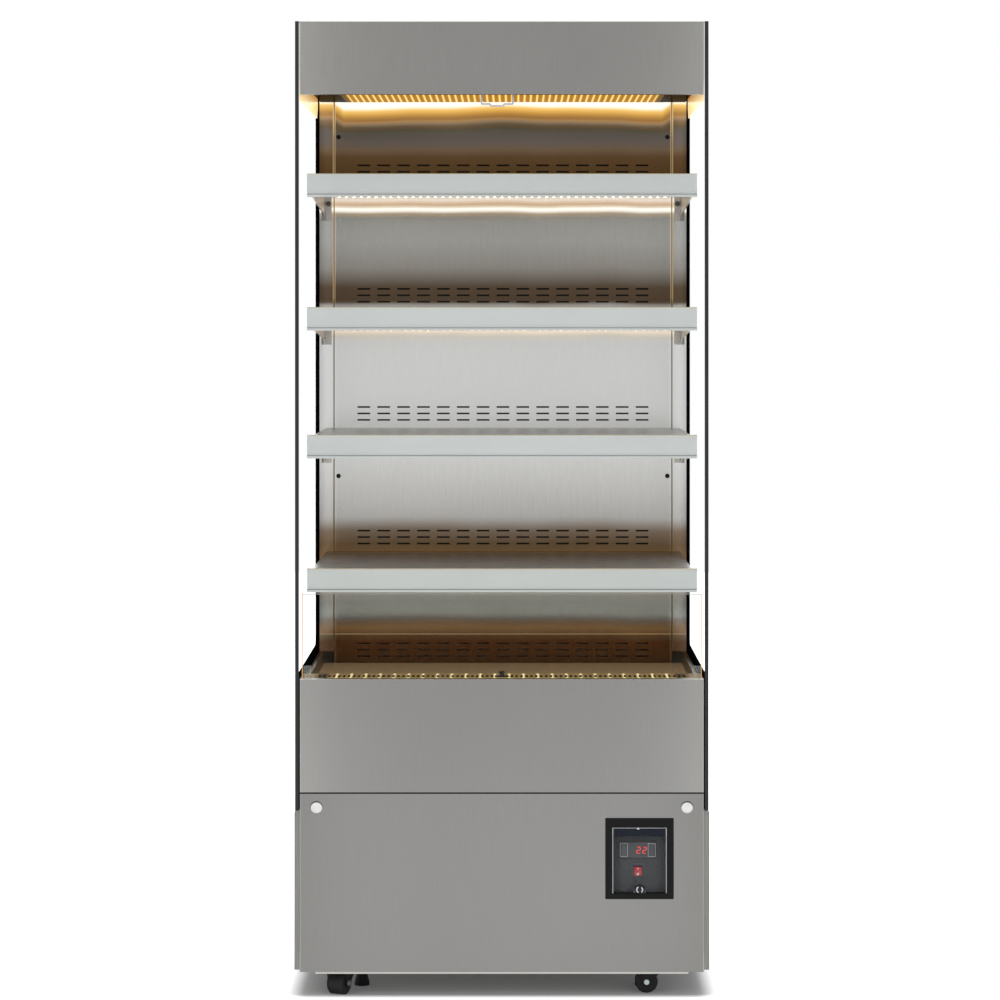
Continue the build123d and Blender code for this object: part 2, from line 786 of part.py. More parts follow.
# Canopy top: a flat lid between the side panes
with BuildPart() as canopy_top:
    block((-pan_half_width, pan_half_width), (face_y + lid_end_gap, rear_y - lid_end_gap),
          (lid_bottom, case_height))
    chamfer(canopy_top.faces().sort_by(Axis.Z)[-1].edges(), lid_edge)
canopy_top.part.label = "canopy_top"
export_step(canopy_top.part, "parts/canopy_top.step")

# Canopy cheeks: bright plates that line the side glass inside the canopy
cheek_front_y = face_y + fascia_return + cheek_front_gap
cheek_rear_y = wall_y - cheek_rear_gap
with BuildPart() as canopy_cheeks:
    for side in (-1, 1):
        outer = glass_inner_x - side_fit
        low = min(side * outer, side * (outer - cheek_sheet))
        with BuildSketch(Plane.YZ.offset(low)):
            with BuildLine():
                Polyline((cheek_front_y, cheek_bottom), (cheek_rear_y, cheek_bottom),
                         (cheek_rear_y + cheek_corner, cheek_bottom + cheek_corner),
                         (cheek_rear_y + cheek_corner, lid_bottom), (cheek_front_y, lid_bottom),
                         close=True)
            make_face()
        extrude(amount=cheek_sheet)
canopy_cheeks.part.label = "canopy_cheeks"
export_step(canopy_cheeks.part, "parts/canopy_cheeks.step")

# Ceiling: the underside of the canopy, turned up in front behind the curtain
ceiling_front_y = roller_y + roller_radius + ceiling_roller_gap
with BuildPart() as canopy_ceiling:
    with BuildSketch(Plane.YZ.offset(-ceiling_half_width)):
        with BuildLine():
            Polyline((ceiling_front_y, lid_bottom), (ceiling_front_y, ceiling_z), (wall_y, ceiling_z),
                     (wall_y, ceiling_z + panel_sheet),
                     (ceiling_front_y + panel_sheet, ceiling_z + panel_sheet),
                     (ceiling_front_y + panel_sheet, lid_bottom), close=True)
        make_face()
    extrude(amount=2 * ceiling_half_width)
canopy_ceiling.part.label = "canopy_ceiling"
export_step(canopy_ceiling.part, "parts/canopy_ceiling.step")

# Canopy light: an extruded channel for the light strip, under the front of the ceiling
with BuildPart() as canopy_light:
    light_front_y = ceiling_front_y + light_setback
    with BuildSketch(Plane.YZ.offset(-light_width / 2)):
        with BuildLine():
            light_rear_y = light_front_y + light_depth
            low_z = ceiling_z - light_height
            Polyline((light_front_y, ceiling_z), (light_front_y, low_z),
                     (light_front_y + light_flange, low_z), (light_front_y + light_flange, ceiling_z - light_web),
                     (light_rear_y - light_flange, ceiling_z - light_web), (light_rear_y - light_flange, low_z),
                     (light_rear_y, low_z), (light_rear_y, ceiling_z), close=True)
        make_face()
    extrude(amount=light_width)
canopy_light.part.label = "canopy_light"
export_step(canopy_light.part, "parts/canopy_light.step")

# Curtain roller: the wound tube on its spindle, with a spring inside that winds it up
roller_plane = Plane(origin=(0, roller_y, roller_z), x_dir=(0, 1, 0), z_dir=(1, 0, 0))
with BuildPart() as curtain_roller:
    with BuildSketch(roller_plane):
        Circle(roller_radius)
    extrude(amount=curtain_half_width, both=True)
    with BuildSketch(roller_plane):
        Circle(roller_spindle)
    extrude(amount=ceiling_half_width - side_fit, both=True)
curtain_roller.part.label = "curtain_roller"
export_step(curtain_roller.part, "parts/curtain_roller.step")

# Brackets that hang from the lid and hold the ends of the roller's spindle
with BuildPart() as curtain_brackets:
    for side in (-1, 1):
        outer = side * ceiling_half_width
        inner = side * (ceiling_half_width - curtain_bracket_sheet)
        with BuildSketch(Plane.YZ.offset(min(outer, inner))):
            with Locations((roller_y, (lid_bottom + roller_z - curtain_bracket_tail) / 2)):
                Rectangle(curtain_bracket_width, lid_bottom - roller_z + curtain_bracket_tail)
            with Locations((roller_y, roller_z)):
                Circle(roller_spindle + running_fit, mode=Mode.SUBTRACT)
        extrude(amount=curtain_bracket_sheet)
        flange = sorted((inner, inner - side * curtain_bracket_flange))
        block(flange, (roller_y - curtain_bracket_width / 2, roller_y + curtain_bracket_width / 2),
              (lid_bottom - curtain_bracket_sheet, lid_bottom))
curtain_brackets.part.label = "curtain_brackets"
export_step(curtain_brackets.part, "parts/curtain_brackets.step")

# Curtain sheet: the short length that hangs from the roller to the bar
with BuildPart() as curtain_sheet:
    block((sheet_edge_gap - curtain_half_width, curtain_half_width - sheet_edge_gap),
          (curtain_y, curtain_y + curtain_sheet_thickness - running_fit),
          (bar_z + bar_height, roller_z))
curtain_sheet.part.label = "curtain_sheet"
export_step(curtain_sheet.part, "parts/curtain_sheet.step")

# Curtain bar: the weighted bottom edge of the curtain
with BuildPart() as curtain_bar:
    with BuildSketch(Plane.YZ.offset(-curtain_half_width)):
        with Locations((curtain_y + curtain_sheet_thickness / 2, bar_z + bar_height / 2)):
            RectangleRounded(bar_depth, bar_height, bar_corner)
    extrude(amount=2 * curtain_half_width)
curtain_bar.part.label = "curtain_bar"
export_step(curtain_bar.part, "parts/curtain_bar.step")

# Curtain handle: a bent wire pull with a step at its middle, hooked into the bar
handle_y = curtain_y + curtain_sheet_thickness / 2
handle_top = bar_z
handle_low = bar_z - handle_drop
with BuildPart() as curtain_handle:
    with BuildLine() as handle_path:
        FilletPolyline(
            (handle_x - handle_half_width, handle_y, handle_top),
            (handle_x - handle_half_width, handle_y, handle_low),
            (handle_x - handle_step_half_width, handle_y, handle_low),
            (handle_x - handle_step_half_width, handle_y, handle_low - handle_step),
            (handle_x + handle_step_half_width, handle_y, handle_low - handle_step),
            (handle_x + handle_step_half_width, handle_y, handle_low),
            (handle_x + handle_half_width, handle_y, handle_low),
            (handle_x + handle_half_width, handle_y, handle_top),
            radius=handle_bend)
    with BuildSketch(Plane(origin=handle_path.line @ 0, z_dir=handle_path.line % 0)):
        Rectangle(handle_wire, handle_wire)
    sweep(transition=Transition.RIGHT)
curtain_handle.part.label = "curtain_handle"
export_step(curtain_handle.part, "parts/curtain_handle.step")

# Shelves: pans folded down all round, with a channel for the light strip at the front
for number, top in enumerate(shelf_tops, start=1):
    with BuildPart() as shelf:
        block((-shelf_half_width, shelf_half_width), (shelf_front_y, shelf_rear_y),
              (top - shelf_fold, top))
        offset(amount=-panel_sheet, openings=shelf.faces().sort_by(Axis.Z)[0])
        with BuildSketch(Plane.YZ.offset(-led_channel_width / 2)):
            with BuildLine():
                near = shelf_front_y + panel_sheet
                far = near + led_channel_depth
                low = top - led_drop
                Polyline((near, low), (far, low), (far, top - led_channel_top_drop),
                         (far - led_channel_sheet, top - led_channel_top_drop),
                         (far - led_channel_sheet, low + led_channel_sheet),
                         (near + led_channel_sheet, low + led_channel_sheet),
                         (near + led_channel_sheet, top - shelf_fold + led_channel_lap),
                         (near, top - shelf_fold + led_channel_lap),
                         close=True)
            make_face()
        extrude(amount=led_channel_width)
    shelf.part.label = f"shelf_{number}"
    export_step(shelf.part, f"parts/shelf_{number}.step")

# Price rails: extruded ticket channels that clip over the front of each shelf
for number, top in enumerate(rail_tops, start=1):
    with BuildPart() as price_rail:
        with BuildSketch(Plane.YZ.offset(-rail_width / 2)):
            with BuildLine():
                bottom = top - rail_height
                Polyline((rail_y, top), (shelf_front_y, top), (shelf_front_y, top - rail_clip_height),
                         (shelf_front_y - rail_wall, top - rail_clip_height),
                         (shelf_front_y - rail_wall, top - rail_wall),
                         (rail_y + rail_wall, top - rail_wall),
                         (rail_y + rail_wall, bottom + rail_foot_height),
                         (shelf_front_y - rail_foot_gap, bottom),
                         (rail_y - rail_lip_proud, bottom),
                         (rail_y - rail_lip_proud, bottom + rail_lip_height),
                         (rail_y - rail_lip_proud + rail_lip_edge, bottom + rail_lip_height),
                         (rail_y, bottom + rail_lip_height - rail_lip_root), close=True)
            make_face()
        extrude(amount=rail_width)
    price_rail.part.label = f"price_rail_{number}"
    export_step(price_rail.part, f"parts/price_rail_{number}.step")

# Shelf brackets: tapered arms with a seat for the shelf, hooked into the back columns
bracket_web_x = shelf_half_width + bracket_web_gap
with BuildPart() as shelf_brackets:
    for top in shelf_tops:
        seat = top - shelf_fold
        for side in (-1, 1):
            web_low = min(side * bracket_web_x, side * (bracket_web_x + bracket_web))
            with BuildSketch(Plane.YZ.offset(web_low)):
                with BuildLine():
                    arm_front = shelf_front_y + bracket_front_setback
                    Polyline((arm_front, seat - bracket_front_height + bracket_nose),
                             (arm_front, top - bracket_top_drop), (wall_y, top - bracket_top_drop),
                             (wall_y, top - bracket_rear_height),
                             (wall_y - bracket_root_length, top - bracket_rear_height + bracket_root_rise),
                             (arm_front + bracket_nose_length, seat - bracket_front_height), close=True)
                make_face()
            extrude(amount=bracket_web)
            seat_span = sorted((side * bracket_inner_x, side * bracket_web_x))
            block(seat_span, (arm_front, wall_y - bracket_seat_gap), (seat - bracket_seat, seat))
            plate_span = sorted((side * (bracket_inner_x + bracket_plate_inset),
                                 side * (glass_inner_x - bracket_plate_glass_gap)))
            block(plate_span, (wall_y - bracket_end_plate, wall_y),
                  (top - bracket_rear_height, seat - bracket_seat))
            for drop in hook_drops:
                hook = sorted((side * hook_slot_x - hook_thickness / 2,
                               side * hook_slot_x + hook_thickness / 2))
                block(hook, (wall_y - hook_root, wall_y + hook_reach),
                      (top - drop - hook_height / 2, top - drop + hook_height / 2))
    with BuildSketch(Plane.XZ.offset(-wall_y)):
        for x, z in screw_places:
            with Locations((x, z)):
                Circle(screw_diameter / 2 + running_fit)
    extrude(amount=bracket_end_plate, mode=Mode.SUBTRACT)
shelf_brackets.part.label = "shelf_brackets"
export_step(shelf_brackets.part, "parts/shelf_brackets.step")

# Bracket screws: pan-head screws that hold each bracket's end plate to its column
with BuildPart() as bracket_screws:
    for x, z in screw_places:
        with Locations(Plane(origin=(x, wall_y - bracket_end_plate, z), z_dir=(0, -1, 0))):
            Cylinder(screw_head_diameter / 2, screw_head, align=(Align.CENTER, Align.CENTER, Align.MIN))
            Cylinder(screw_diameter / 2, screw_reach, align=(Align.CENTER, Align.CENTER, Align.MAX))
    screw_fronts = bracket_screws.faces().filter_by(Axis.Y).group_by(Axis.Y)[0]
    chamfer(screw_fronts.edges(), screw_edge)
bracket_screws.part.label = "bracket_screws"
export_step(bracket_screws.part, "parts/bracket_screws.step")

# Control box: a moulded bezel with a deep recess, its floor cut out for the controller
cover_axis_y = bezel_y + cover_hinge_radius
cover_axis_z = window_top - cover_hinge_drop
window_z = (window_top + window_bottom) / 2
window_height = window_top - window_bottom
bezel_plane = Plane.XZ.offset(-bezel_y)
floor_plane = Plane.XZ.offset(-control_floor_y)
with BuildPart() as control_bezel:
    with BuildSketch(bezel_plane):
        with Locations((control_x, control_z)):
            RectangleRounded(bezel_width, bezel_height, bezel_corner)
    extrude(amount=-bezel_proud)
    chamfer(control_bezel.faces().sort_by(Axis.Y)[0].edges(), bezel_edge)
    with BuildSketch(front_plane):
        with Locations((control_x, control_z)):
            Rectangle(bezel_width - 2 * control_wall - 2 * side_fit,
                      bezel_height - 2 * control_wall - 2 * side_fit)
    extrude(amount=-(control_floor_y + control_floor - face_y))
    with BuildSketch(bezel_plane):
        with Locations((control_x, window_z)):
            Rectangle(window_width, window_height)
    extrude(amount=-control_floor_depth, mode=Mode.SUBTRACT)
    with BuildSketch(floor_plane):
        with Locations((rocker_x, rocker_z)):
            Rectangle(rocker_frame_width, rocker_frame_height)
    extrude(amount=rocker_frame_proud)
    with BuildSketch(Plane.XZ.offset(-control_floor_y + rocker_frame_proud)):
        with Locations((rocker_x, rocker_z)):
            Rectangle(rocker_width + 2 * rocker_side_gap, rocker_height + 2 * rocker_end_gap)
        with Locations((controller_x, controller_z)):
            Rectangle(controller_width - 2 * controller_flange_x, controller_height - 2 * controller_flange_z)
    extrude(amount=-(rocker_frame_proud + control_floor), mode=Mode.SUBTRACT)
    with BuildSketch(Plane.YZ.offset(control_x)):
        with Locations((cover_axis_y, cover_axis_z)):
            Circle(cover_pin_radius + running_fit)
    extrude(amount=window_width / 2 + cover_pin_length, both=True, mode=Mode.SUBTRACT)
    with BuildSketch(Plane.YZ.offset(rocker_x)):
        with Locations((control_floor_y + control_floor / 2, rocker_z)):
            Circle(rocker_pin_radius + running_fit)
    extrude(amount=rocker_width / 2 + rocker_pin_reach + seat_gap, both=True, mode=Mode.SUBTRACT)
control_bezel.part.label = "control_bezel"
export_step(control_bezel.part, "parts/control_bezel.step")

# Controller: a flush temperature controller with a pocket at each side for its keys
controller_face_y = control_floor_y - controller_proud
controller_plane = Plane.XZ.offset(-controller_face_y)
with BuildPart() as controller:
    with BuildSketch(controller_plane):
        with Locations((controller_x, controller_z)):
            RectangleRounded(controller_width, controller_height, controller_corner)
    extrude(amount=-controller_proud)
    chamfer(controller.faces().sort_by(Axis.Y)[0].edges(), bezel_edge)
    with BuildSketch(floor_plane):
        with Locations((controller_x, controller_z)):
            Rectangle(controller_width - 2 * (controller_flange_x + side_fit),
                      controller_height - 2 * (controller_flange_z + side_fit))
    extrude(amount=-controller_depth)
    pocket_depth = key_thickness - key_proud + key_travel + key_rear_gap
    with BuildSketch(controller_plane):
        with Locations((controller_x - key_offset, controller_z),
                       (controller_x + key_offset, controller_z)):
            Rectangle(key_width + 2 * key_side_gap, key_height + 2 * key_side_gap)
    extrude(amount=-pocket_depth, mode=Mode.SUBTRACT)
    with BuildSketch(controller_plane):
        with Locations((controller_x, controller_z)):
            Rectangle(readout_width, readout_height)
    extrude(amount=-readout_depth, mode=Mode.SUBTRACT)
controller.part.label = "controller"
export_step(controller.part, "parts/controller.step")

# Keys: one at each side of the readout, pushed in against a spring
for side, name in ((-1, "key_left"), (1, "key_right")):
    with BuildPart() as key:
        with BuildSketch(Plane.XZ.offset(-controller_face_y + key_proud)):
            with Locations((controller_x + side * key_offset, controller_z)):
                Rectangle(key_width, key_height)
        extrude(amount=-key_thickness)
        chamfer(key.edges().filter_by(Axis.Y), key_corner)
        chamfer(key.faces().sort_by(Axis.Y)[0].edges(), key_edge)
    key.part.label = name
    export_step(key.part, f"parts/{name}.step")

# Rocker switch: a lit rocker on pins in the control box's floor, shown switched on
rocker_axis_y = control_floor_y + control_floor / 2
with BuildPart() as rocker_switch:
    with BuildSketch(Plane.YZ.offset(rocker_x - rocker_width / 2)):
        with Locations(Location((rocker_axis_y, rocker_z), rocker_tilt)):
            half_height = rocker_height / 2 - rocker_end_land
            Polygon((-rocker_horn, -half_height), (-rocker_dip, 0), (-rocker_horn, half_height),
                    (-rocker_shoulder, half_height), (rocker_depth - rocker_horn, rocker_tail),
                    (rocker_depth - rocker_horn, -rocker_tail), (-rocker_shoulder, -half_height),
                    align=None)
    extrude(amount=rocker_width)
    with BuildSketch(Plane.YZ.offset(rocker_x)):
        with Locations((rocker_axis_y, rocker_z)):
            Circle(rocker_pin_radius)
    extrude(amount=rocker_width / 2 + rocker_pin_reach, both=True)
rocker_switch.part.label = "rocker_switch"
export_step(rocker_switch.part, "parts/rocker_switch.step")

# Control cover: a clear flap with moulded hinge pins at its top and a domed finger tab
cover_width = window_width - 2 * cover_side_gap
cover_bottom = window_bottom + cover_bottom_gap
with BuildPart() as control_cover:
    with BuildSketch(bezel_plane):
        with Locations((control_x, (cover_bottom + cover_axis_z) / 2)):
            Rectangle(cover_width, cover_axis_z - cover_bottom)
    extrude(amount=-cover_thickness)
    with BuildSketch(Plane.YZ.offset(control_x)):
        with Locations((cover_axis_y, cover_axis_z)):
            Circle(cover_hinge_radius)
    extrude(amount=cover_width / 2, both=True)
    with BuildSketch(Plane.YZ.offset(control_x)):
        with Locations((cover_axis_y, cover_axis_z)):
            Circle(cover_pin_radius)
    extrude(amount=cover_width / 2 + cover_pin_length - seat_gap, both=True)
    with BuildSketch(bezel_plane):
        with BuildLine():
            tab_line = Line((control_x - tab_radius, cover_bottom), (control_x + tab_radius, cover_bottom))
            ThreePointArc(tab_line @ 1, (control_x, cover_bottom + tab_radius + tab_rise), tab_line @ 0)
        make_face()
    extrude(amount=tab_proud, taper=tab_taper)
control_cover.part.label = "control_cover"
export_step(control_cover.part, "parts/control_cover.step")

# Casters: each has a fixed plate, a swivelling fork with its axle bolt, and a wheel
axle_z = wheel_diameter / 2
crown_top = pan_bottom - caster_plate_thickness - race_height - seat_gap
crown_low = crown_top - crown_thickness
caster_places = {
    "front_left": (-caster_x, -caster_y, 66.0),
    "front_right": (caster_x, -caster_y, 0.0),
    "rear_left": (-caster_x, caster_y, 90.0),
    "rear_right": (caster_x, caster_y, 90.0),
}
plate_centres = [(x, y) for x, y, heading in caster_places.values()]
with BuildPart() as caster_plates:
    with BuildSketch(Plane.XY.offset(pan_bottom - caster_plate_thickness)):
        with Locations(*plate_centres):
            Rectangle(caster_plate_width, caster_plate_length)
    extrude(amount=caster_plate_thickness)
    chamfer(caster_plates.edges().filter_by(Axis.Z), caster_plate_corner)
    with BuildSketch(Plane.XY.offset(pan_bottom - caster_plate_thickness)):
        with Locations(*plate_centres):
            Circle(race_radius)
    extrude(amount=-race_height)
    with BuildSketch(Plane.XY.offset(pan_bottom)):
        with Locations(*plate_centres):
            Circle(king_pin_radius + running_fit)
    extrude(amount=-caster_plate_thickness - race_height, mode=Mode.SUBTRACT)
caster_plates.part.label = "caster_plates"
export_step(caster_plates.part, "parts/caster_plates.step")

cheek_outer = wheel_width / 2 + cheek_gap + cheek_plate
for corner, (x, y, heading) in caster_places.items():
    trailing = Vector(-cos(radians(heading)), -sin(radians(heading)), 0)
    across = Vector(sin(radians(heading)), -cos(radians(heading)), 0)
    hub = Vector(x, y, axle_z) - trailing * -caster_trail
    crown_plane = Plane(origin=(x, y, crown_top), x_dir=tuple(-trailing), z_dir=(0, 0, 1))
    hub_plane = Plane(origin=tuple(hub), x_dir=tuple(-trailing), z_dir=tuple(across))
    with BuildPart() as fork:
        with BuildSketch(crown_plane):
            with Locations((-caster_trail / 2, 0)):
                RectangleRounded(caster_trail + 2 * crown_margin, 2 * cheek_outer, crown_corner)
        extrude(amount=-crown_thickness)
        with BuildSketch(crown_plane):
            Circle(king_pin_radius)
        extrude(amount=caster_plate_thickness + race_height - king_pin_end_gap)
        for side in (-1, 1):
            with BuildSketch(hub_plane.offset(side * (cheek_outer - cheek_plate / 2))):
                with BuildLine():
                    rise = crown_low - axle_z
                    Polyline((fork_lobe, 0), (caster_trail + fork_front, rise), (-fork_rear, rise),
                             (-fork_lobe, 0))
                    ThreePointArc((-fork_lobe, 0), (0, -fork_lobe), (fork_lobe, 0))
                make_face()
            extrude(amount=cheek_plate / 2, both=True)
            with BuildSketch(hub_plane.offset(side * cheek_outer)):
                RegularPolygon(axle_bolt_radius, 6)
            extrude(amount=side * axle_bolt_head)
        with BuildSketch(hub_plane):
            Circle(wheel_bore)
        extrude(amount=cheek_outer, both=True)
    fork.part.label = f"caster_fork_{corner}"
    export_step(fork.part, f"parts/caster_fork_{corner}.step")
    with BuildPart() as wheel:
        with BuildSketch(hub_plane):
            Circle(wheel_diameter / 2)
            Circle(wheel_bore + running_fit, mode=Mode.SUBTRACT)
        extrude(amount=wheel_width / 2, both=True)
        rims = wheel.edges().filter_by(GeomType.CIRCLE).sort_by(SortBy.RADIUS)[-2:]
        chamfer(rims, wheel_edge)
    wheel.part.label = f"caster_wheel_{corner}"
    export_step(wheel.part, f"parts/caster_wheel_{corner}.step")

# Levelling feet: a rubber bell on a threaded rod with its lock nut, screwed into the pan
for (x, y), name in zip(foot_places, ("foot_left", "foot_right")):
    with BuildPart() as foot:
        with BuildSketch(Plane(origin=(x, y, 0), x_dir=(1, 0, 0), z_dir=(0, -1, 0))):
            with BuildLine():
                Polyline((0, 0), (foot_pad_radius, 0), (foot_pad_radius, foot_rim_height),
                         (foot_pad_radius - foot_waist_inset, foot_pad_height - foot_waist_drop),
                         (foot_pad_radius - foot_neck_inset, foot_pad_height), (0, foot_pad_height),
                         close=True)
            make_face()
        revolve(axis=Axis((x, y, 0), (0, 0, 1)))
        with BuildSketch(Plane(origin=(x, y, foot_pad_height))):
            RegularPolygon(foot_nut_radius, 6)
        extrude(amount=foot_nut_height)
        with BuildSketch(Plane(origin=(x, y, foot_pad_height))):
            Circle(foot_rod_radius)
        extrude(amount=foot_rod_top - foot_pad_height)
    foot.part.label = name
    export_step(foot.part, f"parts/{name}.step")

# Blower housing: two end plates with bearings, joined by a curved scroll on a foot
with BuildPart() as blower_housing:
    half = blower_length / 2 + blower_end_gap + blower_end_plate
    scroll = blower_radius + blower_scroll_gap
    for side in (-1, 1):
        low = min(side * half, side * (half - blower_end_plate))
        with BuildSketch(Plane.YZ.offset(low)):
            with Locations((blower_y, (tank_floor + panel_sheet + blower_z + scroll) / 2)):
                Rectangle(2 * scroll, blower_z + scroll - tank_floor - panel_sheet)
            with Locations((blower_y, blower_z)):
                Circle(blower_shaft_radius + running_fit, mode=Mode.SUBTRACT)
        extrude(amount=blower_end_plate)
    with BuildSketch(Plane.YZ.offset(-half)):
        with Locations((blower_y, blower_z)):
            Circle(scroll)
            Circle(scroll - panel_sheet, mode=Mode.SUBTRACT)
        with Locations((blower_y - scroll / 2, blower_z + scroll / 2)):
            Rectangle(scroll, scroll, mode=Mode.SUBTRACT)
    extrude(amount=2 * half)
blower_housing.part.label = "blower_housing"
export_step(blower_housing.part, "parts/blower_housing.step")

# Blower wheel: a long drum of blades between two discs, on one shaft
with BuildPart() as blower_wheel:
    shaft_plane = Plane(origin=(0, blower_y, blower_z), x_dir=(0, 1, 0), z_dir=(1, 0, 0))
    with BuildSketch(shaft_plane.offset(-blower_length / 2)):
        with PolarLocations(blower_radius - blower_blade_depth / 2, blower_blades):
            Rectangle(blower_blade_depth, blower_blade_thickness, rotation=blower_blade_angle)
    extrude(amount=blower_length)
    for side in (-1, 1):
        with BuildSketch(shaft_plane.offset(side * blower_length / 2)):
            Circle(blower_radius)
        extrude(amount=-side * blower_end_disc)
    with BuildSketch(shaft_plane):
        Circle(blower_shaft_radius)
    extrude(amount=half, both=True)
blower_wheel.part.label = "blower_wheel"
export_step(blower_wheel.part, "parts/blower_wheel.step")

# Heater elements: two hairpin rods fixed in the tank's side wall, each on a clip
with BuildPart() as heater_elements:
    wall_x = -tank_half_width + panel_sheet
    for row_y in heater_rows_y:
        with BuildSketch(Plane.YZ.offset(wall_x)):
            with Locations((row_y - heater_bend, heater_z), (row_y + heater_bend, heater_z)):
                RegularPolygon(heater_radius, heater_rod_sides)
        extrude(amount=heater_length)
        with BuildSketch(Plane.YZ.offset(wall_x + heater_length)):
            with Locations((row_y - heater_bend, heater_z)):
                RegularPolygon(heater_radius, heater_rod_sides)
        revolve(axis=Axis((wall_x + heater_length, row_y, heater_z), (0, 0, 1)), revolution_arc=180)
        clip_x = wall_x + heater_length - heater_clip_setback
        block((clip_x, clip_x + heater_clip_thickness),
              (row_y - heater_bend - heater_clip_margin, row_y + heater_bend + heater_clip_margin),
              (tank_floor + panel_sheet, heater_z + heater_clip_margin))
heater_elements.part.label = "heater_elements"
export_step(heater_elements.part, "parts/heater_elements.step")

# Supply box: the closed housing of the power supply, on the pan behind the front panel
with BuildPart() as supply_box:
    block((supply_x - supply_width / 2, supply_x + supply_width / 2),
          (supply_y - supply_depth / 2, supply_y + supply_depth / 2),
          (pan_bottom + frame_sheet, pan_bottom + frame_sheet + supply_height))
    chamfer(supply_box.edges().filter_by(Axis.Z), supply_edge)
supply_box.part.label = "supply_box"
export_step(supply_box.part, "parts/supply_box.step")
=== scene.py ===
import json
import math

import bpy
import numpy as np
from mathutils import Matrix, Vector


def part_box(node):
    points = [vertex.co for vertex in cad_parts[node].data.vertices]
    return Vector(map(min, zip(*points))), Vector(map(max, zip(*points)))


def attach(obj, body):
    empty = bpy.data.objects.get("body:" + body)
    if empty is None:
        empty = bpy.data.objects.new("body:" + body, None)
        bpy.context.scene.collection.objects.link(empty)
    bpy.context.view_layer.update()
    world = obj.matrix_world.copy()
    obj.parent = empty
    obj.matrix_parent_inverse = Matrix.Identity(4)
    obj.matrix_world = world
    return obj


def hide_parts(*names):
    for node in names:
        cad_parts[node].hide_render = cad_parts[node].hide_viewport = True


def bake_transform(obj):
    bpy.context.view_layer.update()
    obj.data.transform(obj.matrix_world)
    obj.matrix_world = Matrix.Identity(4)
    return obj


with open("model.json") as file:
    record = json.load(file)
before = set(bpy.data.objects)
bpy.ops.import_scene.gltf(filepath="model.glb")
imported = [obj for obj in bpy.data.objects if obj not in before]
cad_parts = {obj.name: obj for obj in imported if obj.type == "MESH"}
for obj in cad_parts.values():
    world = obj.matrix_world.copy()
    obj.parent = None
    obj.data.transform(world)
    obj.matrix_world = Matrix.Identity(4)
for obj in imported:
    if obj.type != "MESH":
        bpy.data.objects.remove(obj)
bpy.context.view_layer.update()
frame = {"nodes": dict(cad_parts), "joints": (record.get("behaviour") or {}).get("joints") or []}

# The photographer's view: level, a touch to the right of the middle, five and a half metres from the
# front panels. The shift puts the case where the photograph has it, without tilting the camera.
eye = bpy.data.cameras.new("eye")
eye.lens = 115.8
eye.shift_x = -0.014
eye.shift_y = -0.18
camera = bpy.data.objects.new("camera", eye)
camera.location = (0.0209, -5.819, 1.163)
camera.rotation_euler = (math.pi / 2, 0, 0)
bpy.context.scene.collection.objects.link(camera)
bpy.context.scene.camera = camera
bpy.context.scene.view_settings.view_transform = "Standard"


# Brushed stainless sheet: the front panels, the canopy's fascia and its lid. Cold rolled sheet with a
# vertical grain, folded back at its edges and screwed to the frame from behind.
class Signal:
    """A shader value that adds its own Math node wherever an operator meets it."""

    def __init__(self, finish, socket):
        self.finish = finish
        self.socket = socket

    def meet(self, operation, first, second=0.0):
        return self.finish.node("ShaderNodeMath", {"operation": operation}, {0: first, 1: second})

    def __add__(self, other):
        return self.meet("ADD", self, other)

    def __radd__(self, other):
        return self.meet("ADD", other, self)

    def __sub__(self, other):
        return self.meet("SUBTRACT", self, other)

    def __rsub__(self, other):
        return self.meet("SUBTRACT", other, self)

    def __mul__(self, other):
        return self.meet("MULTIPLY", self, other)

    def __rmul__(self, other):
        return self.meet("MULTIPLY", other, self)

    def __pow__(self, other):
        return self.meet("POWER", self, other)

    def __gt__(self, other):
        return self.meet("GREATER_THAN", self, other)

    def __lt__(self, other):
        return self.meet("LESS_THAN", self, other)

    def __abs__(self):
        return self.meet("ABSOLUTE", self)

    def least(self, other):
        return self.meet("MAXIMUM", self, other)

    def most(self, other):
        return self.meet("MINIMUM", self, other)


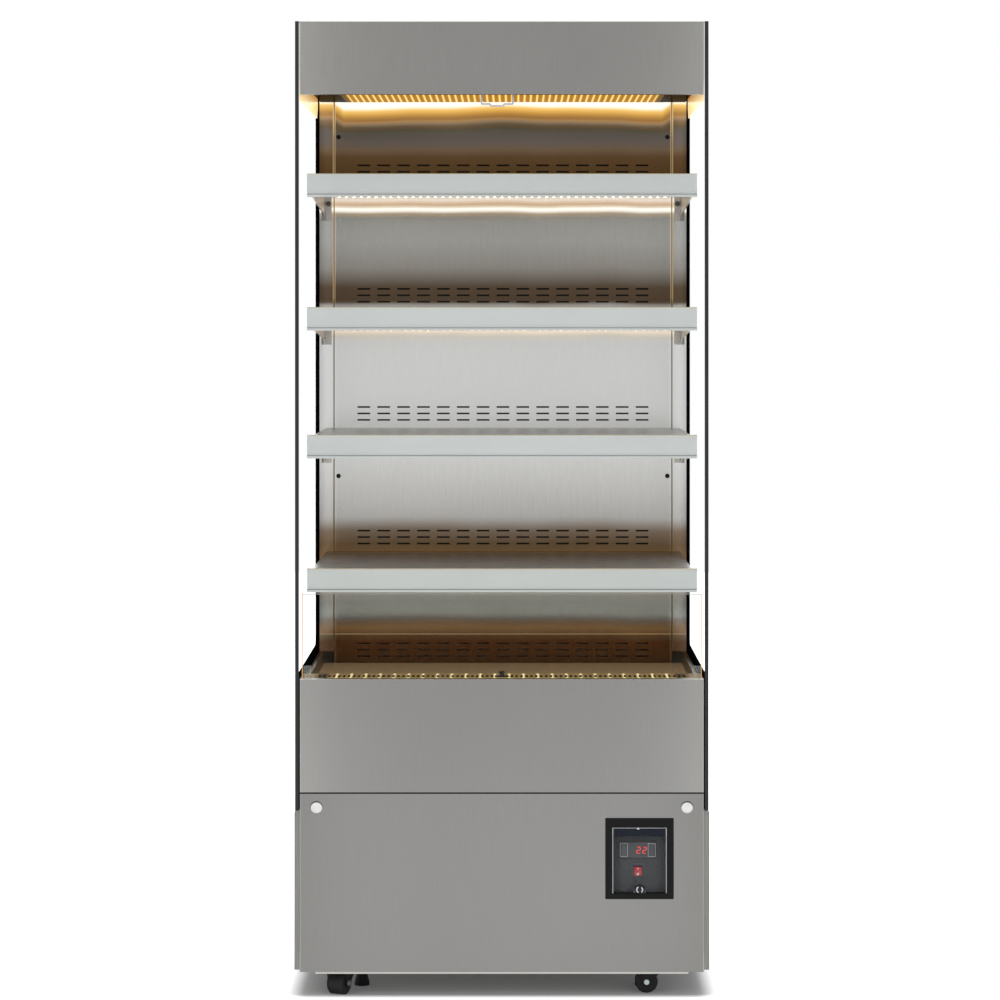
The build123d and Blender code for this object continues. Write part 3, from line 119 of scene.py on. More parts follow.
class Finish:
    """A procedural material: a Principled surface with fixed values and the nodes that feed it."""

    def __init__(self, name, fixed):
        self.material = bpy.data.materials.new(name)
        self.material.use_nodes = True
        self.tree = self.material.node_tree
        self.surface = self.tree.nodes["Principled BSDF"]
        self.end = self.tree.nodes["Material Output"]
        for socket, value in fixed.items():
            self.surface.inputs[socket].default_value = value

    def node(self, kind, settings=None, inputs=None, output=0):
        """Adds a node, sets its settings first, then its sockets, and returns one of its outputs."""
        made = self.tree.nodes.new(kind)
        for setting, value in (settings or {}).items():
            if setting == "stops":
                ramp = made.color_ramp
                ramp.elements[0].position, ramp.elements[0].color = value[0]
                ramp.elements[-1].position, ramp.elements[-1].color = value[-1]
                for position, colour in value[1:-1]:
                    ramp.elements.new(position).color = colour
            else:
                setattr(made, setting, value)
        for socket, value in (inputs or {}).items():
            if isinstance(value, Signal):
                self.tree.links.new(value.socket, made.inputs[socket])
            else:
                made.inputs[socket].default_value = value
        return Signal(self, made.outputs[output])

    def feed(self, socket, signal):
        """Links a signal to a socket of the Principled surface."""
        self.tree.links.new(signal.socket, self.surface.inputs[socket])

    def stretched(self, scale, centre=(0, 0, 0)):
        """Object coordinates, moved to a centre and multiplied along each axis."""
        place = self.node("ShaderNodeTexCoord", output=3)
        moved = self.node("ShaderNodeVectorMath", {"operation": "SUBTRACT"}, {0: place, 1: centre})
        return self.node("ShaderNodeVectorMath", {"operation": "MULTIPLY"}, {0: moved, 1: scale})

    def axis(self, letter):
        """One of the object coordinates, in metres."""
        place = self.node("ShaderNodeTexCoord", output=3)
        return self.node("ShaderNodeSeparateXYZ", None, {0: place}, output="XYZ".index(letter))

    def noise(self, scale, detail=2.0, roughness=0.5):
        """Noise from 0 to 1 with the given number of cells per metre along each axis."""
        return self.node("ShaderNodeTexNoise", None,
                         {"Vector": self.stretched(scale), "Scale": 1.0, "Detail": detail,
                          "Roughness": roughness})

    def blend(self, factor, first, second):
        """A colour between two, by a factor from 0 to 1."""
        return self.node("ShaderNodeMix", {"data_type": "RGBA"}, {0: factor, 6: first, 7: second},
                         output=2)

    def base(self):
        """The base colour that the surface already has."""
        return Signal(self, self.surface.inputs["Base Color"].links[0].from_socket)

    def tint(self, tone):
        """Multiplies the base colour that the surface already has by another colour."""
        self.feed("Base Color", self.node(
            "ShaderNodeMix", {"data_type": "RGBA", "blend_type": "MULTIPLY"},
            {0: 1.0, 6: self.base(), 7: tone}, output=2))

    def glow(self, factor, colour):
        """Lets the surface shine in a colour, by a factor from 0 to 1."""
        self.feed("Emission Color", self.blend(factor, (0, 0, 0, 1), colour))
        self.surface.inputs["Emission Strength"].default_value = 1.0

    def bump(self, height):
        """Feeds the surface a normal that is tilted by a height in metres."""
        self.feed("Normal", self.node("ShaderNodeBump", None,
                                      {"Strength": 1.0, "Distance": 1.0, "Height": height}))

    def cover(self, *pieces):
        """Gives the finish to CAD nodes, by name, and to new pieces."""
        for piece in pieces:
            target = frame["nodes"][piece] if isinstance(piece, str) else piece
            target.data.materials.clear()
            target.data.materials.append(self.material)


def brushed(name, dark, light, grain, roughness, depth=0.000005, swell=0.0, swell_cells=(4, 4, 4)):
    """Brushed metal: streaks of fine noise along the grain, over slow clouds from rolling and wiping.
    The surface is scored by depth and, where the sheet is not quite flat, swells by a slow noise."""
    finish = Finish(name, {"Metallic": 1.0})
    streaks = finish.noise(grain, 3.0, 0.65)
    clouds = finish.noise((3.1, 3.1, 2.3), 2.0)
    finish.feed("Base Color", finish.blend(streaks * 0.62 + clouds * 0.38, dark, light))
    finish.feed("Roughness", roughness + 0.16 * (streaks - 0.5) + 0.07 * (clouds - 0.5))
    height = streaks * depth
    if swell:
        height = height + finish.noise(swell_cells, 1.0) * swell
    finish.bump(height)
    return finish


front_steel = brushed("front_stainless", (0.160, 0.158, 0.153, 1), (0.230, 0.228, 0.222, 1),
                      (950, 950, 14), 0.34)
joint_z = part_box("lower_front_panel")[1].z
fascia_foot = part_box("canopy_fascia")[0].z
edge_highlight_width = 0.0014
half_joint = 0.00025
joint_shadow = 0.0013
# Painted light and shade: darker sides below the joint, lighter sides above it, a lighter fascia.
beside = (abs(front_steel.axis("X")) * 3.0) ** 5
painted_edge_tone = front_steel.blend(front_steel.axis("Z") > joint_z, (0.92, 0.92, 0.91, 1),
                              (1.24, 1.24, 1.23, 1))
front_steel.tint(front_steel.blend(beside.most(1.0), (1, 1, 1, 1), painted_edge_tone))
front_steel.tint(front_steel.blend(front_steel.axis("Z") > fascia_foot, (1, 1, 1, 1),
                                   (1.12, 1.12, 1.11, 1)))
# Painted highlight: a pale line down the folded side edges of the panels.
panel_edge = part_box("lower_front_panel")[1].x
edge_highlight = abs(front_steel.axis("X")) > panel_edge - edge_highlight_width
front_steel.tint(front_steel.blend(edge_highlight, (1, 1, 1, 1), (1.45, 1.45, 1.40, 1)))
in_joint = abs(front_steel.axis("Z") - (joint_z + half_joint)) < joint_shadow
front_steel.tint(front_steel.blend(in_joint, (1, 1, 1, 1), (0.10, 0.10, 0.10, 1)))
front_steel.cover("lower_front_panel", "upper_front_panel", "canopy_fascia")
lid_steel = brushed("lid_stainless", (0.198, 0.191, 0.182, 1), (0.304, 0.294, 0.281, 1),
                    (850, 6, 850), 0.36)
lid_steel.cover("canopy_top")

# Base: side panels of grey coated sheet, a rear panel and duct casing of galvanised sheet, and the
# folded pan that carries the casters. Bolted together, with the seams left dry.
side_coat = Finish("grey_coated_sheet", {"Metallic": 0.55, "Specular IOR Level": 0.5})
side_coat.feed("Base Color", side_coat.blend(side_coat.noise((600, 600, 14), 2.0),
                                             (0.192, 0.190, 0.181, 1), (0.266, 0.263, 0.252, 1)))
side_coat.feed("Roughness", 0.34 + 0.12 * side_coat.noise((90, 90, 90)))
side_coat.bump(side_coat.noise((1400, 1400, 1400), 1.0) * 0.000002)
# Painted shade: the base side panels are darker near their outermost side.
outer_shade_depth = 0.0013
outer_shade = abs(side_coat.axis("X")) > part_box("base_sides")[1].x - outer_shade_depth
side_coat.tint(side_coat.blend(outer_shade, (1, 1, 1, 1), (0.55, 0.55, 0.55, 1)))
side_coat.cover("base_sides")
pan_steel = brushed("pan_steel", (0.310, 0.304, 0.285, 1), (0.434, 0.428, 0.403, 1),
                    (12, 600, 600), 0.42)
pan_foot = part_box("lower_front_panel")[0].z
lip_back = -0.25
# Painted light: the pan's front lip, under the front panels, glows faintly.
lit_lip = (pan_steel.axis("Z") < pan_foot) * (pan_steel.axis("Y") < lip_back)
pan_steel.glow(lit_lip, pan_steel.blend(pan_steel.noise((40, 40, 40)), (0.03, 0.03, 0.028, 1),
                                       (0.10, 0.10, 0.09, 1)))
pan_steel.cover("base_frame")

galvanised = Finish("galvanised_sheet", {"Metallic": 0.9})
spangle = galvanised.node("ShaderNodeTexVoronoi", {"feature": "F1"},
                          {"Vector": galvanised.stretched((95, 95, 95)), "Scale": 1.0}, output=1)
galvanised.feed("Base Color", galvanised.blend(
    galvanised.node("ShaderNodeSeparateColor", None, {0: spangle}),
    (0.259, 0.266, 0.274, 1), (0.374, 0.382, 0.389, 1)))
galvanised.feed("Roughness", 0.38 + 0.14 * galvanised.noise((40, 40, 40)))
galvanised.cover("base_rear_panel", "curtain_brackets", "supply_box")
duct_sheet = brushed("duct_sheet_shaded_inside", (0.045, 0.043, 0.04, 1), (0.09, 0.087, 0.082, 1),
                     (60, 60, 60), 0.5)
# Painted shade: inside, the casing and the tank are nearly black, except a lighter warm band.
outer_skin = 0.0006
outside = duct_sheet.axis("Y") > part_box("rear_casing")[1].y - outer_skin
warm_band_foot, warm_band_top = 0.4985, 0.5485
warm_band = ((duct_sheet.axis("Z") > warm_band_foot) * (duct_sheet.axis("Z") < warm_band_top)) * (1.0 - outside)
rolled = duct_sheet.blend(duct_sheet.noise((260, 260, 9), 3.0, 0.6), (0.20, 0.205, 0.21, 1),
                          (0.30, 0.306, 0.312, 1))
duct_sheet.feed("Base Color", duct_sheet.blend(outside, (0.06, 0.058, 0.055, 1), rolled))
duct_sheet.feed("Base Color", duct_sheet.blend(warm_band, duct_sheet.base(), (0.28, 0.25, 0.205, 1)))
duct_sheet.cover("rear_casing", "air_tank")

black_nylon = Finish("black_nylon", {"Roughness": 0.42, "Specular IOR Level": 0.15})
black_nylon.feed("Base Color", black_nylon.blend(black_nylon.noise((400, 400, 400)),
                                                 (0.012, 0.012, 0.013, 1), (0.03, 0.03, 0.032, 1)))
black_nylon.bump(black_nylon.noise((1800, 1800, 1800)) * 0.000004)
black_nylon.cover("cable_gland", "curtain_catch", "wall_plugs")

# Caps: white polyethylene plugs pressed into the screw holes of the lower front panel. Each sits a
# little back in its hole, and a dark crescent of painted shadow lies along its top.
cap_plastic = Finish("white_cap_plastic", {"Roughness": 0.35})
cap_low, cap_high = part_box("panel_caps")
cap_radius = 0.0105
cap_flange = 0.002
cap_shadow_drop = 0.0020
cap_shadow_width = 0.0006
cap_x = cap_high.x - cap_radius - cap_flange
cap_z = (cap_low.z + cap_high.z) / 2
off_middle = ((abs(cap_plastic.axis("X")) - cap_x) ** 2
              + (cap_plastic.axis("Z") - cap_z + cap_shadow_drop) ** 2) ** 0.5
cap_plastic.feed("Base Color", cap_plastic.blend(cap_plastic.noise((120, 120, 120)),
                                                 (0.74, 0.735, 0.72, 1), (0.84, 0.835, 0.82, 1)))
# Painted shadow: a dark crescent along the top of each cap.
cap_plastic.tint(cap_plastic.blend(off_middle > cap_radius - cap_shadow_width, (1, 1, 1, 1),
                                   (0.05, 0.05, 0.05, 1)))
cap_plastic.cover("panel_caps")

# Side glass: toughened panes 6 mm thick with a black border printed on the inner face along the rear and
# the foot. The border has a round inner corner, and the panes stand on the base side panels.
pane_thickness = 0.006
pane_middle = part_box("side_glass")[1].x - pane_thickness / 2
border_front = 0.150
border_top = 0.561
border_corner = 0.015
pane = Finish("printed_glass", {"Roughness": 0.3, "Specular IOR Level": 0.0})
past_front = (pane.axis("Y") - (border_front - border_corner)).least(0.0)
below_top = ((border_top + border_corner) - pane.axis("Z")).least(0.0)
border = (past_front ** 2 + below_top ** 2) ** 0.5 > border_corner
pane.feed("Base Color", pane.blend(pane.noise((30, 30, 30)), (0.004, 0.004, 0.005, 1),
                                   (0.009, 0.009, 0.01, 1)))


def see_through(finish, tint, gloss, cover):
    """Clear glass or plastic: what lies behind shows through the tint, with a sheen at a slant only,
    and cover, from 0 to 1, puts the finish's own surface over it."""
    clear = finish.tree.nodes.new("ShaderNodeBsdfTransparent")
    clear.inputs["Color"].default_value = tint
    sheen = finish.tree.nodes.new("ShaderNodeBsdfGlossy")
    sheen.inputs["Roughness"].default_value = 0.03
    slant = finish.node("ShaderNodeFresnel", None, {"IOR": 1.45})
    first = finish.tree.nodes.new("ShaderNodeMixShader")
    second = finish.tree.nodes.new("ShaderNodeMixShader")
    slanting = (slant - 0.12).least(0.0).most(gloss)
    finish.tree.links.new(slanting.socket, first.inputs[0])
    finish.tree.links.new(clear.outputs[0], first.inputs[1])
    finish.tree.links.new(sheen.outputs[0], first.inputs[2])
    finish.tree.links.new(cover.socket, second.inputs[0])
    finish.tree.links.new(first.outputs[0], second.inputs[1])
    finish.tree.links.new(finish.surface.outputs[0], second.inputs[2])
    finish.tree.links.new(second.outputs[0], finish.end.inputs["Surface"])


see_through(pane, (0.996, 1.0, 0.998, 1), 0.0, border * (abs(pane.axis("X")) < pane_middle))
pane.cover("side_glass")

# Trims: black anodised strips bonded to the front edges of the side glass.
trim_black = Finish("black_trim", {"Specular IOR Level": 0.2})
trim_black.feed("Base Color", trim_black.blend(trim_black.noise((500, 500, 8)),
                                               (0.012, 0.012, 0.013, 1), (0.03, 0.03, 0.032, 1)))
trim_black.feed("Roughness", 0.33 + 0.1 * trim_black.noise((300, 300, 6)))
trim_black.cover("glass_trims")

# Back wall: a stainless panel with three rows of air slots above the deck and each shelf, between two
# folded columns with the shelf brackets. Soft bands of painted light, painted reflection and painted
# shade run across it by height: the tones tint the steel and the glows add light.
wall_steel = brushed("wall_stainless", (0.252, 0.252, 0.246, 1), (0.378, 0.378, 0.369, 1),
                     (900, 900, 25), 0.17, 0.00005, 0.0022, (2.6, 2.6, 5))
fold_x = 0.3195
fold_half = 0.0009
fold_glint = 0.0024
upstand_z, upstand_half = 0.569, 0.0008
second_bay_foot = 1.19
top_bay_foot = 1.5
column_from = 0.312
wall_end = 0.3515
from_fold = fold_x - abs(wall_steel.axis("X"))
arc = (from_fold * 55.0).most(1.0).least(0.0) * (0.0045 + abs(wall_steel.axis("X")) * 0.026) - 0.007
in_top_bay = ((wall_steel.axis("Z") - top_bay_foot) * 25.0).most(1.0).least(0.0)
lift = wall_steel.axis("Z") + 0.010 * (wall_steel.noise((7, 1, 1), 1.0) - 0.5) + arc * in_top_bay
# Painted reflections and shade by height, as tints of the steel:
painted_tones = [(0.500, (0.30, 0.20, 0.12)), (0.556, (0.46, 0.275, 0.16)), (0.566, (0.62, 0.50, 0.34)),
         (0.574, (0.85, 0.62, 0.42)), (0.586, (0.62, 0.50, 0.38)), (0.597, (0.60, 0.53, 0.50)),
         (0.606, (0.78, 0.80, 0.75)), (0.630, (0.53, 0.55, 0.53)), (0.690, (0.60, 0.60, 0.57)),
         (0.700, (0.36, 0.24, 0.15)), (0.765, (0.40, 0.27, 0.18)), (0.790, (0.95, 0.92, 0.90)),
         (0.930, (1.0, 1.0, 1.0)), (1.190, (1.0, 1.0, 1.0)), (1.195, (0.24, 0.16, 0.10)),
         (1.225, (0.26, 0.18, 0.12)), (1.262, (0.75, 0.70, 0.66)), (1.310, (0.96, 0.95, 0.93)),
         (1.425, (0.96, 0.95, 0.93)), (1.430, (0.22, 0.11, 0.04)), (1.470, (0.30, 0.16, 0.08)),
         (1.484, (0.47, 0.31, 0.20)), (1.497, (0.42, 0.34, 0.31)), (1.512, (0.40, 0.35, 0.34)),
         (1.520, (0.43, 0.37, 0.32)), (1.5237, (0.42, 0.33, 0.24)), (1.528, (0.68, 0.45, 0.29)),
         (1.548, (0.50, 0.38, 0.24)), (1.600, (0.50, 0.38, 0.24))]
# Painted light by height, from the strips:
painted_glows = [(0.500, (0, 0, 0)), (0.570, (0.01, 0, 0)), (0.582, (0.07, 0.03, 0.005)),
         (0.600, (0, 0, 0)), (0.705, (0.09, 0.045, 0.01)), (0.740, (0.02, 0.01, 0)),
         (0.800, (0.09, 0.09, 0.085)), (0.900, (0.26, 0.26, 0.255)), (1.120, (0.26, 0.26, 0.255)),
         (1.133, (0.32, 0.28, 0.22)), (1.141, (0.62, 0.50, 0.36)), (1.160, (0.24, 0.2, 0.15)),
         (1.200, (0, 0, 0)), (1.356, (0.01, 0.01, 0)), (1.364, (0.20, 0.12, 0.03)),
         (1.3705, (1.04, 1.02, 0.95)), (1.3745, (0.97, 0.90, 0.74)), (1.378, (0.38, 0.24, 0.10)),
         (1.3835, (0.58, 0.37, 0.22)), (1.389, (0.76, 0.66, 0.55)), (1.420, (0, 0, 0)),
         (1.530, (0.01, 0.01, 0)), (1.535, (0.147, 0.116, 0.08)), (1.539, (0.32, 0.19, 0.068)),
         (1.5427, (0.275, 0.115, 0.02)), (1.5464, (0.28, 0.135, 0.03)), (1.554, (0.60, 0.31, 0.055)),
         (1.5616, (0.90, 0.56, 0.15)), (1.5653, (0.98, 0.88, 0.60)), (1.567, (1.1, 1.08, 1.0)),
         (1.575, (1.1, 1.08, 1.0)), (1.600, (0.1, 0.05, 0.01))]
foot, crown = painted_tones[0][0], painted_tones[-1][0]
share = (lift - foot) * (1 / (crown - foot))
bands = [wall_steel.node("ShaderNodeValToRGB", {"stops": [((z - foot) / (crown - foot), (*colour, 1))
                                                          for z, colour in steps]}, {0: share})
         for steps in (painted_tones, painted_glows)]
wall_steel.tint(bands[0])
wall_steel.tint(wall_steel.blend(wall_steel.noise((420, 420, 420), 3.0, 0.7), (0.86, 0.86, 0.86, 1),
                                 (1.14, 1.14, 1.14, 1)))
# Painted highlights: gold lines beside the folds, brighter up the case, and one at the upstand.
fold = abs(from_fold) < fold_half
upstand_glint = (abs(wall_steel.axis("Z") - upstand_z) < upstand_half) * 0.25
in_second_bay = ((wall_steel.axis("Z") - second_bay_foot) * 60.0).most(1.0).least(0.0)
by_fold = abs(from_fold) < fold_glint
glint_lines = (by_fold * (0.08 + in_second_bay * 0.34 + in_top_bay * 0.43)).least(upstand_glint)
# Painted light: the columns take a share of the painted bands.
past_column = ((abs(wall_steel.axis("X")) - column_from) * 30.0).most(1.0).least(0.0)
on_column = past_column * (1.0 - by_fold)
side_light = wall_steel.blend(on_column * 0.20, (0, 0, 0, 1), bands[0])
wall_light = wall_steel.node("ShaderNodeVectorMath", {"operation": "ADD"},
                             {0: bands[1], 1: side_light})
wall_steel.glow(((wall_end - abs(wall_steel.axis("X"))) * 400.0).most(1.0).least(0.0) * (1.0 - fold),
                wall_steel.blend(glint_lines, wall_light, (0.78, 0.55, 0.27, 1)))
wall_steel.tint(wall_steel.blend(fold, (1, 1, 1, 1), (0.3, 0.25, 0.2, 1)))
wall_steel.cover("slotted_back_panel", "back_columns")
bracket_steel = brushed("bracket_steel", (0.42, 0.40, 0.37, 1), (0.58, 0.56, 0.52, 1),
                        (60, 500, 500), 0.3)
bracket_steel.cover("shelf_brackets")
screw_zinc = Finish("screw_zinc", {"Metallic": 1.0})
screw_zinc.feed("Base Color", screw_zinc.blend(screw_zinc.noise((300, 300, 300)),
                                               (0.05, 0.048, 0.045, 1), (0.16, 0.155, 0.15, 1)))
screw_zinc.feed("Roughness", 0.25 + 0.15 * screw_zinc.noise((500, 500, 500)))
screw_zinc.cover("bracket_screws")

# Canopy: bright cheeks and ceiling, rolled across the case, both with painted light, and an
# aluminium channel with a warm light strip under the front of the ceiling.
ceiling_steel = brushed("ceiling_stainless", (0.330, 0.317, 0.290, 1), (0.488, 0.469, 0.436, 1),
                        (3, 1500, 1500), 0.17, 0.00004)
ceiling_z = 1.58
mirror_top, mirror_front = 1.577, 0.02
mirrored_pitch = 0.0116
mirrored_end = 0.297
cheek_lit_top = 1.576
cheek_fade = 0.037
# Painted shade: below its face the ceiling is nearly black.
ceiling_steel.tint(ceiling_steel.blend(ceiling_steel.axis("Z") < ceiling_z, (1, 1, 1, 1),
                                       (0.06, 0.036, 0.014, 1)))
# Painted reflection: the row of diodes mirrored on the ceiling as warm streaks running back.
diode_wave = ceiling_steel.node("ShaderNodeTexWave", {"bands_direction": "X", "wave_profile": "SIN"},
                                {"Vector": ceiling_steel.stretched((1 / mirrored_pitch, 1, 1)),
                                 "Scale": math.pi / 10})
mirrored = (ceiling_steel.axis("Z") < mirror_top) * (ceiling_steel.axis("Y") > mirror_front)
inside_row = ((mirrored_end - abs(ceiling_steel.axis("X"))) * 60.0).most(1.0).least(0.0)
ceiling_steel.glow(mirrored * inside_row, ceiling_steel.blend(diode_wave ** 4, (0.42, 0.175, 0.012, 1),
                                                              (1.35, 0.88, 0.24, 1)))
ceiling_steel.feed("Metallic", 1.0 - mirrored * 0.92)
ceiling_steel.surface.inputs["Specular IOR Level"].default_value = 0.0
ceiling_steel.cover("canopy_ceiling")
# Painted light: the cheeks are tinted gold and glow warm below the strip, palest at their foot.
cheek_steel = brushed("cheek_stainless", (0.248, 0.205, 0.149, 1), (0.372, 0.322, 0.248, 1),
                      (900, 5, 900), 0.2, 0.00002)
cheek_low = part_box("canopy_cheeks")[0].z
cheek_lift = ((cheek_steel.axis("Z") - cheek_low) * (1 / cheek_fade)).most(1.0).least(0.0)
cheek_steel.glow(cheek_steel.axis("Z") < cheek_lit_top, cheek_steel.blend(
    cheek_lift, (0.9, 0.72, 0.42, 1), (0.48, 0.22, 0.04, 1)))
cheek_steel.cover("canopy_cheeks")
channel_aluminium = brushed("channel_aluminium", (0.385, 0.385, 0.378, 1), (0.504, 0.504, 0.497, 1),
                            (4, 900, 900), 0.3)
channel_aluminium.cover("canopy_light")


def add_piece(name, points, faces, finish, body, slot, smooth=True):
    """Puts points and faces, both in arrays, into a new mesh that rides on a body."""
    mesh = bpy.data.meshes.new(name)
    mesh.from_pydata(points.tolist(), [], [list(face) for face in faces.tolist()])
    mesh.polygons.foreach_set("use_smooth", np.full(len(mesh.polygons), smooth))
    mesh.update()
    piece = bpy.data.objects.new(name, mesh)
    bpy.context.scene.collection.objects.link(piece)
    finish.cover(piece)
    if body:
        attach(piece, body)
    return piece


def boxes(low, high):
    """Closed boxes from rows of low and high corners: each has eight points, counted in binary along
    x, y and z, and six faces that point outwards."""
    bits = np.array([[n & 1, n >> 1 & 1, n >> 2 & 1] for n in range(8)], bool)
    points = np.where(bits, high[:, None, :], low[:, None, :]).reshape(-1, 3)
    sides = np.array([[0, 2, 3, 1], [4, 5, 7, 6], [0, 1, 5, 4], [2, 6, 7, 3], [0, 4, 6, 2],
                      [1, 3, 7, 5]])
    faces = (sides[None] + 8 * np.arange(len(low))[:, None, None]).reshape(-1, 4)
    return points, faces


# Light strips: white tape with a warm diode every 12 to 13 mm, stuck in a channel under the ceiling and
# under the front of each shelf. Each diode is a small block with a lit face.
diode_size = 0.004
diode_height = 0.0008
tape_width = 0.010
tape_thickness = 0.0008
tape_white = Finish("tape_white", {"Roughness": 0.5})
tape_white.feed("Base Color", tape_white.blend(tape_white.noise((200, 200, 200)),
                                               (0.62, 0.56, 0.45, 1), (0.72, 0.66, 0.55, 1)))
# Painted light: the tape glows warm all along, though only the diodes are lamps.
tape_white.glow(tape_white.noise((90, 90, 90)) * 0.3 + 0.7, (0.78, 0.68, 0.56, 1))
diode_glow = Finish("diode_glow", {"Base Color": (0.9, 0.75, 0.4, 1), "Roughness": 0.4})
diode_glow.feed("Emission Color", diode_glow.blend(diode_glow.noise((60, 60, 60)),
                                                   (1.0, 0.66, 0.32, 1), (1.0, 0.70, 0.36, 1)))
diode_glow.surface.inputs["Emission Strength"].default_value = 14.0


def light_strip(name, half_length, pitch, y, z, body):
    """A tape whose lower face is at z, as one long box, and below it a row of small boxes, the diodes,
    spaced evenly from the middle."""
    tape_low = np.array([[-half_length, y - tape_width / 2, z]])
    tape_high = np.array([[half_length, y + tape_width / 2, z + tape_thickness]])
    add_piece(f"{name}_tape", *boxes(tape_low, tape_high), tape_white, body, "white_plastic", False)
    count = int(half_length / pitch)
    x = pitch * np.arange(-count, count + 1)
    low = np.column_stack([x - diode_size / 2, np.full(x.shape, y - diode_size / 2),
                           np.full(x.shape, z - diode_height)])
    high = np.column_stack([x + diode_size / 2, np.full(x.shape, y + diode_size / 2),
                            np.full(x.shape, z)])
    add_piece(f"{name}_diodes", *boxes(low, high), diode_glow, body, "light_channel", False)


channel_low, channel_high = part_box("canopy_light")
channel_web = 0.002
canopy_strip_half, canopy_pitch = 0.2645, 0.0117
light_strip("canopy_light", canopy_strip_half, canopy_pitch, (channel_low.y + channel_high.y) / 2,
            channel_high.z - channel_web - tape_thickness, "cabinet")

# Shelves: stainless pans folded down all round. Each lies on two bracket arms and lifts off, and has
# its light strip on the channel under its front.
shelf_steel = brushed("shelf_stainless", (0.264, 0.254, 0.238, 1), (0.409, 0.396, 0.373, 1),
                      (5, 800, 800), 0.28)
channel_depth = 0.014
shelf_sheet = 0.0012
shelf_strip_half, shelf_pitch = 0.297, 0.013
for number in range(1, 5):
    shelf = f"shelf_{number}"
    shelf_steel.cover(shelf)
    low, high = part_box(shelf)
    light_strip(f"{shelf}_light", shelf_strip_half, shelf_pitch,
                low.y + shelf_sheet + channel_depth / 2, low.z - tape_thickness, f"{shelf}_body")

# Price rails: extruded channels of milky white plastic that clip over the front edges of the shelves
# and take paper tickets. Their faces are smooth, with a lip along the foot.
rail_glint_height = 0.0012
groove_rise, half_groove = 0.0047, 0.0008
for number in range(1, 5):
    rail = f"price_rail_{number}"
    low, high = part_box(rail)
    rail_plastic = Finish(f"{rail}_plastic", {"Coat Weight": 0.2, "Coat Roughness": 0.12})
    rail_plastic.feed("Base Color", rail_plastic.blend(
        rail_plastic.noise((7, 40, 40)), (0.50, 0.525, 0.515, 1), (0.55, 0.575, 0.56, 1)))
    # Painted highlight: a gold line along the top edge.
    top_glint = rail_plastic.axis("Z") > high.z - rail_glint_height
    rail_plastic.tint(rail_plastic.blend(top_glint, (1, 1, 1, 1), (0.86, 0.70, 0.46, 1)))
    # Painted shade: a dark line along the groove near the foot.
    groove_shade = abs(rail_plastic.axis("Z") - (low.z + groove_rise)) < half_groove
    rail_plastic.tint(rail_plastic.blend(groove_shade, (1, 1, 1, 1), (0.45, 0.45, 0.45, 1)))
    rail_plastic.feed("Roughness", 0.38 + 0.1 * rail_plastic.noise((60, 300, 300)))
    rail_plastic.cover(rail)

# Deck and grille: the lowest shelf is a lift-out stainless tray, with a slotted cover over the warm air
# outlet in front of it. The tank below holds the heaters and the blower.
# Painted light: the deck is tinted gold-brown and glows warm on top, brighter towards the front.
deck_steel = brushed("deck_stainless", (0.223, 0.180, 0.124, 1), (0.347, 0.291, 0.217, 1),
                     (5, 800, 800), 0.24)
deck_steel.surface.inputs["Specular Tint"].default_value = (0.42, 0.37, 0.30, 1)
deck_face = 0.512
forward = ((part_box("deck_panel")[1].y - deck_steel.axis("Y")) * 2.04).most(1.0).least(0.0)
deck_steel.glow(deck_steel.axis("Z") > deck_face, deck_steel.blend(
    forward, (0.10, 0.065, 0.035, 1), (0.24, 0.17, 0.09, 1)))
deck_steel.cover("deck_panel")
# Painted light: the grille is tinted gold.
grille_steel = brushed("grille_stainless", (0.310, 0.236, 0.149, 1), (0.484, 0.384, 0.260, 1),
                       (5, 800, 800), 0.3)
grille_steel.surface.inputs["Specular Tint"].default_value = (0.35, 0.30, 0.25, 1)
grille_low, grille_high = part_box("front_grille")
glint_pitch = 0.0248
lit_half = 0.300
lit_skin = 0.0008
front_bend = 0.0035
# Painted highlights: gold glints at a steady pitch on the lit top face, and a gold front line.
glints = grille_steel.node("ShaderNodeTexWave", {"bands_direction": "X", "wave_profile": "SIN"},
                           {"Vector": grille_steel.stretched((1 / glint_pitch, 1, 1)),
                            "Scale": math.pi / 10})
lit_top = ((grille_steel.axis("Z") > grille_high.z - lit_skin)
           * (abs(grille_steel.axis("X")) < lit_half))
lit = grille_steel.blend(grille_steel.noise((60, 45, 45)), (0.06, 0.035, 0.012, 1),
                         (0.28, 0.18, 0.07, 1))
lit = grille_steel.blend(glints ** 14, lit, (1.0, 0.82, 0.42, 1))
grille_steel.glow(lit_top, grille_steel.blend(
    (grille_steel.axis("Y") < grille_low.y + front_bend) * 0.6, lit, (0.90, 0.66, 0.28, 1)))
grille_steel.cover("front_grille")
rod_steel = Finish("heater_rod_steel", {"Metallic": 1.0})
rod_steel.feed("Base Color", rod_steel.blend(rod_steel.noise((25, 90, 90)),
                                             (0.128, 0.096, 0.072, 1), (0.240, 0.208, 0.176, 1)))
rod_steel.feed("Roughness", 0.4 + 0.2 * rod_steel.noise((60, 60, 60)))
rod_steel.cover("heater_elements")
blower_aluminium = brushed("blower_aluminium", (0.315, 0.315, 0.315, 1), (0.435, 0.435, 0.435, 1),
                           (30, 400, 400), 0.4)
blower_aluminium.cover("blower_wheel", "blower_housing")

# Riser glass: a low clear guard on the front panel's top edge, held at its bottom corners by two clear
# clips. Its edges are ground, and painted warm light makes the top one gold.
edge_depth = 0.0012
guard = Finish("guard_glass", {"Roughness": 0.12})
guard_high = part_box("riser_glass")[1]
side_edges = abs(guard.axis("X")) > guard_high.x - edge_depth
